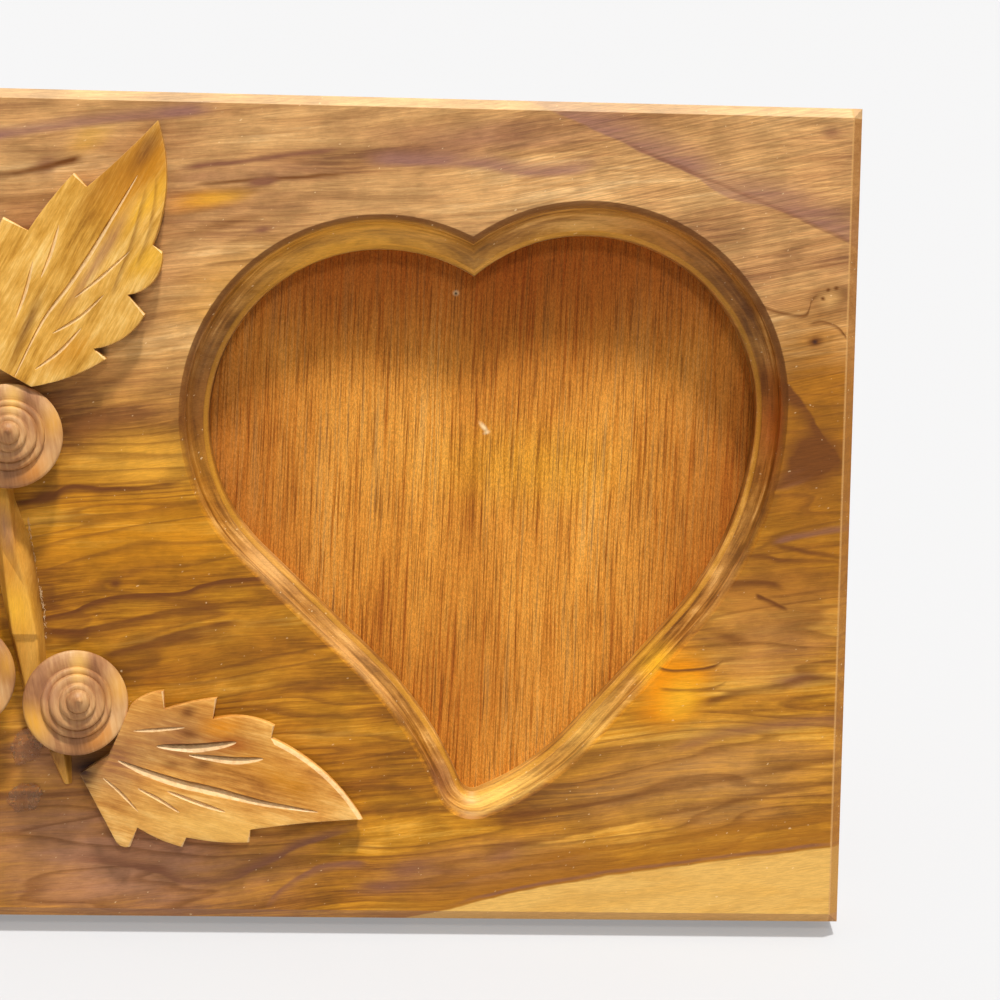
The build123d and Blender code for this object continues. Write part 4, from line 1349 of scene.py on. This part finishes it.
@dataclass
class Fibres(Applied):
    """Loose slivers of wood that lie along a line.

    Attributes:
        path: Places along the line on the plank's face.
        count: Number of slivers.
        length: Shortest and longest sliver.
        scatter: How far slivers stray from the line.
        seed: Seed of the scatter.
        radius: Radius of a sliver's thick end.
    """

    path: tuple
    count: int
    length: tuple
    scatter: float
    crease: ClassVar[None] = None
    for_node: ClassVar[bool] = False
    seed: ClassVar[int] = 3
    radius: ClassVar[float] = 0.045

    def shape(self) -> Shape:
        """The slivers."""
        dice = random.Random(self.seed)
        shape = bmesh.new()
        for _ in range(self.count):
            run = dice.random() * (len(self.path) - 1)
            here = min(int(run), len(self.path) - 2)
            start, end = Vector(self.path[here]), Vector(self.path[here + 1])
            spot = start.lerp(end, run - here)
            along = math.atan2(end.y - start.y, end.x - start.x)
            length = dice.uniform(*self.length)
            stray = Vector((dice.gauss(0.0, self.scatter), dice.gauss(0.0, self.scatter)))
            turn = Matrix.Rotation(along + dice.gauss(0.0, 0.5), 4, "Z")
            lean = Matrix.Rotation(math.pi / 2 - dice.uniform(0.0, 0.25), 4, "Y")
            lift = self.radius + 0.1 * length
            place = Matrix.Translation((spot.x + stray.x, spot.y + stray.y, lift))
            bmesh.ops.create_cone(
                shape, cap_ends=True, segments=4, radius1=self.radius, radius2=self.radius * 0.3,
                depth=length, matrix=place @ turn @ lean,
            )
        return shape


@dataclass
class Studio:
    """Pale floor, soft lights and the camera of the photograph."""

    camera_at: tuple = (40.06, 132.41, 499.68)
    look: tuple = (0.04499, -0.07756, -0.99597)
    screen_right: tuple = (0.99885, 0.01989, 0.04357)
    focal_px: float = 2300.0
    image_px: float = 1000.0
    sensor_mm: float = 36.0
    floor_size: float = 8.0
    floor_seen: Colour = (152, 152, 152)
    floor_glow: float = 0.3
    floor_bounce: Colour = (205, 205, 205)
    sky_low: float = 0.12
    sky_high: float = 0.68

    def build(self, space: FaceSpace) -> None:
        """Makes the floor, the lights and the camera."""
        self.make_floor()
        self.sun("overhead", elevation=81.6, to_right=50.0, spread=6.0, level=1.34)
        self.sun("key", elevation=47.0, to_right=12.0, spread=10.0, level=0.25)
        self.make_sky()
        self.make_camera(space)
        bpy.context.scene.view_settings.view_transform = "Standard"

    def make_floor(self) -> None:
        """Plain floor that the frame stands on, with a glow that only the camera sees in its shadows."""
        shape = bmesh.new()
        bmesh.ops.create_grid(shape, x_segments=1, y_segments=1, size=self.floor_size / 2)
        shader = Shader("floor_white", Matrix.Identity(4))
        colour = shader.blend(shader.seen(), linear(self.floor_bounce), linear(self.floor_seen))
        glow = shader.times(shader.seen(), self.floor_glow)
        lit = {"Emission Color": (1.0, 0.99, 0.99, 1.0), "Emission Strength": glow}
        floor = put("floor", shape, [shader.dress(colour, 0.9, shine=0.0, others=lit)])

    def make_sky(self) -> None:
        """White room that is brighter above and behind the frame than in front of it."""
        world = bpy.data.worlds.new("sky")
        world.use_nodes = True
        nodes = Nodes(world.node_tree)
        way = nodes.add("TexCoord").outputs["Generated"]
        above_behind = Vector((0.0, 0.7, 0.7)).normalized()
        share = nodes.vector("DOT_PRODUCT", way, tuple(above_behind))
        light = nodes.spread(share, -0.5, 1.0, self.sky_low, self.sky_high)
        seen = nodes.seen()
        dark = nodes.times(light, nodes.math("SUBTRACT", 1.0, seen))
        sky = world.node_tree.nodes["Background"].inputs
        nodes.feed(sky["Color"], (1.0, 1.0, 1.0, 1.0))
        nodes.feed(sky["Strength"], nodes.math("ADD", dark, seen))
        bpy.context.scene.world = world

    @staticmethod
    def sun(name: str, elevation: float, to_right: float, spread: float, level: float) -> None:
        """Broad even light from one direction.

        Args:
            name: Name of the light.
            elevation: Angle above the floor.
            to_right: Angle to the right of the frame's front.
            spread: Angle that the light covers.
            level: Brightness of a white surface that faces it.
        """
        lamp = bpy.data.lights.new(name, "SUN")
        lamp.energy = level * math.pi
        lamp.angle = math.radians(spread)
        made = bpy.data.objects.new(name, lamp)
        rise, side = math.radians(elevation), math.radians(to_right)
        flat = math.cos(rise)
        towards = Vector((flat * math.sin(side), -flat * math.cos(side), math.sin(rise)))
        made.rotation_euler = (-towards).to_track_quat("-Z", "Y").to_euler()
        bpy.context.scene.collection.objects.link(made)

    def make_camera(self, space: FaceSpace) -> None:
        """Camera at the photograph's place, angle and field."""
        axes = space.matrix()
        look, right = [axes.to_quaternion() @ Vector(way) for way in (self.look, self.screen_right)]
        up = right.cross(look).normalized()
        right = look.cross(up).normalized()
        lens = bpy.data.cameras.new("camera")
        lens.sensor_width = self.sensor_mm
        lens.lens = self.focal_px / self.image_px * self.sensor_mm
        lens.clip_start = 0.01
        made = bpy.data.objects.new("camera", lens)
        basis = Matrix((right, up, -look.normalized())).transposed().to_4x4()
        made.matrix_world = Matrix.Translation(axes @ Vector(self.camera_at)) @ basis
        bpy.context.scene.collection.objects.link(made)
        bpy.context.scene.camera = made


GOLDEN = CarvedWood(
    "golden_leaf",
    ((0.37, 140, 90, 24), (0.46, 186, 132, 46), (0.54, 210, 158, 72), (0.64, 232, 190, 112)),
    (
        *Tone.AMBER.blots((54, -2, 20, 11, -4, 1)),
        *Tone.OLIVE.blots((54, 0, 18, 7, -4, 0.6)),
        *Tone.YELLOW.blots((48, -6.5, 14, 4, -14, 0.6), (38, -13, 9, 4, -20, 0.6)),
        *Tone.MAUVE.blots((34, -3.6, 20, 2.2, -4, 0.65)),
        *Tone.OLIVE.blots((46, 4, 14, 2.6, -8, 0.5)),
        *Tone.UMBER.blots((12, 2.8, 13, 1.8, 6, 0.75), (58, -1, 9, 2.6, -4, 0.75)),
        *Tone.AMBER.blots((12, -7.5, 10, 4, -25, 0.6)),
        Tone.UMBER.streak(0.5, 0.4, 1.2, (26, -9.5), (38, -8), (52, -4.5)),
        Tone.UMBER.streak(0.4, 0.4, 1, (34, -11.5), (44, -9.6), (55, -4.8)),
    ),
)
ORANGE = CarvedWood(
    "orange_leaf",
    ((0.37, 138, 82, 28), (0.46, 184, 122, 50), (0.54, 208, 150, 72), (0.64, 230, 182, 106)),
    (
        *Tone.STRAW.blots((36, -10, 30, 7.5, 4, 0.5)),
        *Tone.OLIVE.blots((26, 9, 24, 10, -6, 0.7)),
        *Tone.PLUM.blots((20, 7, 16, 10, 0, 0.6)),
        *Tone.RUST.blots((31, 9, 9, 3, 14, 0.6)),
        *Tone.ORANGE.blots((28, 12, 7, 3.4, 20, 0.5)),
        *Tone.UMBER.blots(
            (20.6, 13.4, 3, 2.2, 40, 0.85), (22, 9, 3.4, 1.6, 10, 0.8), (26.5, 3.4, 3.6, 1.8, 24, 0.7),
            (20, 1.6, 3, 1.4, 10, 0.5),
        ),
        *Tone.AMBER.blots((46, 4, 13, 5, -14, 0.6)),
        # Plum and bark at the leaf's base: partly dirt, partly painted shade under the rosette.
        *Tone.PLUM.blots((8, -1, 12, 13, 0, 0.7)),
        *Tone.BARK.blots((2, -5, 8, 5, -60, 0.9)),
    ),
)
STEM_WOOD = CarvedWood(
    "stem_wood",
    ((0.28, 152, 96, 28), (0.44, 184, 124, 42), (0.58, 200, 144, 60), (0.74, 218, 170, 92)),
    (
        *Tone.YELLOW.blots((1.8, -37, 6, 9, 12, 0.5)),
        *Tone.GOLD.blots((-2.4, -12, 2, 7, 0, 0.6)),
        *Tone.MAUVE.blots((-1, -20, 3, 8, 14, 0.7)),
        *Tone.UMBER.blots((6.4, -30, 3.4, 20, 8, 1.1), (9.6, -67, 7, 9, 0, 0.8)),
    ),
    88.0,
)
SHAVING = CarvedWood("pale_shaving", ((0.38, 178, 142, 96), (0.50, 204, 170, 124), (0.62, 226, 198, 156)))
STRUT = CarvedWood(
    "strut_wood",
    ((0.25, 138, 92, 50), (0.42, 172, 122, 68), (0.58, 194, 146, 84), (0.75, 212, 168, 106)),
    grain_turn=90.0,
)
TURNED = TurnedWood(
    "turned_rosette",
    ((0.34, 112, 68, 38), (0.46, 152, 104, 64), (0.54, 178, 132, 84), (0.66, 204, 164, 114)),
    (
        *Tone.GOLD.blots((-8.5, -4, 5, 7, 20, 0.75)),
        *Tone.ORANGE.blots((6, -7, 6, 4, 40, 0.35)),
        *Tone.STRAW.blots((1, 8, 3, 5, 0, 0.55)),
        *Tone.GOLD.blots((9, 3, 4, 6, 0, 0.5)),
        *Tone.MAUVE.blots((-5, 3, 4, 5, 30, 0.6)),
    ),
)
BRASS = Metal("brass", (214, 176, 96), (160, 124, 62))

UPPER_OUTER = (
    ((0.84, 0.121), (0.633, 0.184), (0.629, 0.222)),
    ((0.540, 0.245), (0.448, 0.192), (0.420, 0.272)),
    ((0.330, 0.255), (0.236, 0.181), (0.228, 0.233)),
    ((0.150, 0.185), (0.012, 0.047)),
)
UPPER_INNER = (
    ((0.81, 0.054), (0.692, 0.095), (0.712, 0.154)),
    ((0.600, 0.178), (0.471, 0.194), (0.470, 0.288)),
    ((0.370, 0.270), (0.250, 0.190), (0.240, 0.245)),
    ((0.150, 0.185), (0.012, 0.047)),
)
LOWER_TOP = (
    ((0.793, 0.144), (0.623, 0.196), (0.623, 0.240)),
    ((0.522, 0.246), (0.413, 0.210), (0.408, 0.283)),
    ((0.342, 0.255), (0.245, 0.200), (0.225, 0.261)),
    ((0.176, 0.236), (0.131, 0.190)),
)
LOWER_UNDER = (
    ((0.804, 0.062), (0.634, 0.128), (0.642, 0.172)),
    ((0.530, 0.200), (0.429, 0.210), (0.424, 0.248)),
    ((0.350, 0.242), (0.258, 0.219), (0.250, 0.293)),
    ((0.226, 0.300), (0.201, 0.290)),
    ((0.115, 0.190), (0.022, 0.085)),
)
UPPER_MIDRIB = (
    (0.005, -0.002), (0.229, 0.008), (0.384, -0.011), (0.527, -0.022), (0.68, -0.028), (0.815, -0.031),
)
UPPER_VEINS = (
    Vein(UPPER_MIDRIB, 0.5, 0.55),
    Vein(((0.353, -0.047), (0.457, -0.09), (0.58, -0.131))),
    Vein(((0.213, -0.039), (0.308, -0.093), (0.411, -0.126))),
    Vein(((0.081, -0.048), (0.174, -0.089), (0.278, -0.114))),
    Vein(((0.355, 0.081), (0.445, 0.092), (0.54, 0.114))),
    Vein(((0.199, 0.089), (0.292, 0.104), (0.39, 0.13))),
)
LOWER_MIDRIB = (
    (0.134, -0.008), (0.231, -0.022), (0.359, -0.03), (0.484, -0.027), (0.642, -0.027), (0.853, -0.011),
)
LOWER_VEINS = (
    Vein(LOWER_MIDRIB, 0.95, 1.1),
    Vein(((0.161, 0.104), (0.242, 0.13), (0.329, 0.16)), 0.4, 0.45),
    Vein(((0.25, 0.073), (0.388, 0.104), (0.513, 0.155)), 0.95, 1.2),
    Vein(((0.364, 0.071), (0.517, 0.093), (0.616, 0.123)), 0.75, 0.95),
    Vein(((0.101, -0.078), (0.172, -0.114), (0.25, -0.165)), 0.35, 0.4),
    Vein(((0.225, -0.084), (0.307, -0.104), (0.386, -0.131)), 0.45, 0.5),
    Vein(((0.324, -0.068), (0.432, -0.081), (0.538, -0.089)), 0.55, 0.6),
)
STEM_SECTIONS = (
    (-6.8, -6.3, -0.7, (-4.3, 4.2), (-1.7, 4.2)),
    (-13.8, -5.7, 0.4, (-3.6, 4.5), (-0.3, 4.6)),
    (-24.0, -4.5, 4.3, (-1.8, 4.0), (1.2, 4.9)),
    (-33.4, -2.5, 5.7, (-0.6, 4.7), (3.8, 4.1)),
    (-42.6, -0.6, 6.8, (0.7, 4.7), (5.8, 4.6)),
    (-43.8, -0.3, 6.9, (1.0, 4.0), (5.9, 4.0)),
    (-55.8, 2.5, 7.9, (3.7, 4.0), (6.9, 4.0)),
)
STEM_FOOT_SECTIONS = (
    (-62.3, 6.5, 11.5, (7.1, 3.8), (10.7, 3.8)),
    (-68.4, 7.8, 12.8, (8.7, 3.8), (11.7, 3.8)),
    (-75.8, 11.2, 13.0, (11.7, 1.4), (12.5, 1.4)),
)
STEM_FUZZ = ((-39.5, 88.6), (-38.8, 83.1), (-38.1, 79.4), (-36.6, 71.8), (-35.9, 67.7), (-35.5, 61.4))


@dataclass
class Spray:
    """Leaves, rosettes and stem glued to the plank's face, placed from the top rosette's middle."""

    x: float = -42.7
    up: float = 105.8

    def build(self, space: FaceSpace) -> list[bpy.types.Object]:
        """Makes every piece of the spray.

        Args:
            space: Axes of the plank's face.

        Returns:
            The pieces.
        """
        x, up, glue = self.x, self.up, ClearGlue()
        upper = Leaf(
            "leaf_upper_right", x + 0.1, up + 11.2, GOLDEN, 61.5, "golden_wood",
            64.3, 0.0, UPPER_INNER, UPPER_OUTER, UPPER_VEINS, base_cut=1.6,
        )
        lower = Leaf(
            "leaf_lower_right", x + 15.2, up - 67.3, ORANGE, -14.0, "orange_wood",
            63.2, 0.1, LOWER_TOP, LOWER_UNDER, LOWER_VEINS, trimmed=1, seed=20.0,
        )
        pieces = (
            upper,
            upper.mirrored("leaf_upper_left", x - 8.9, up + 7.0, 140.0),
            lower,
            lower.mirrored("leaf_lower_left", x - 10.2, up - 61.8, 194.0),
            Rosette("rosette_top", x, up, TURNED, 0.0, "rosette_wood", 63.0, 13.0),
            Rosette("rosette_lower_right", x + 14.3, up - 57.3, TURNED, 0.0, "rosette_wood", 40.0, 19.0),
            Rosette("rosette_lower_left", x - 9.3, up - 51.8, TURNED, 0.0, "rosette_wood", 135.0, 10.0),
            Stem("stem_main", x, up, STEM_WOOD, 0.0, "golden_wood", STEM_SECTIONS, (2,)),
            Stem("stem_foot", x, up, STEM_WOOD, 0.0, "golden_wood", STEM_FOOT_SECTIONS),
            GlueBead("glue_bead_upper", -39.5, 38.2, glue, 70.0, None, 4.4, 3.2),
            GlueBead("glue_bead_lower", -39.9, 26.7, glue, 20.0, None, 3.8, 3.0),
            Fibres("stem_fuzz", 0.0, 0.0, SHAVING, 0.0, "golden_wood", STEM_FUZZ, 120, (0.3, 1.0), 0.12),
        )
        return [part.build(space) for part in pieces]


@dataclass
class Carcass:
    """Plank, backing, strut and brass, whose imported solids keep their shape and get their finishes."""

    brass: tuple = (
        "hinge_fixed_leaf", "hinge_moving_leaf", "hinge_pin", "hinge_fixed_screws", "hinge_moving_screws",
        "turn_button_screws", "turn_button_1", "turn_button_2", "turn_button_3", "turn_button_4",
    )

    def build(self, space: FaceSpace) -> list[bpy.types.Object]:
        """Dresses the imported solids.

        Args:
            space: Axes of the plank's face.

        Returns:
            The dressed nodes.
        """
        axes = space.matrix()
        woods = {"front_board": PlankWood(), "backing_panel": Plywood(), "easel_strut": STRUT}
        finishes = {name: wood.material(axes) for name, wood in woods.items()}
        finishes.update(dict.fromkeys(self.brass, BRASS.material(axes)))
        for name, finish in finishes.items():
            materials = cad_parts[name].data.materials
            materials.clear()
            materials.append(finish)
        return [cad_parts[name] for name in finishes]


def main() -> None:
    """Builds the frame's looks piece by piece and reports each one."""
    logging.basicConfig(level=logging.INFO, format="%(name)s: %(message)s")
    space = FaceSpace()
    for made in Carcass().build(space) + Spray().build(space):
        LOG.info("%s, %d faces", made.name, len(made.data.polygons))
    Studio().build(space)


if __name__ == "__main__":
    main()
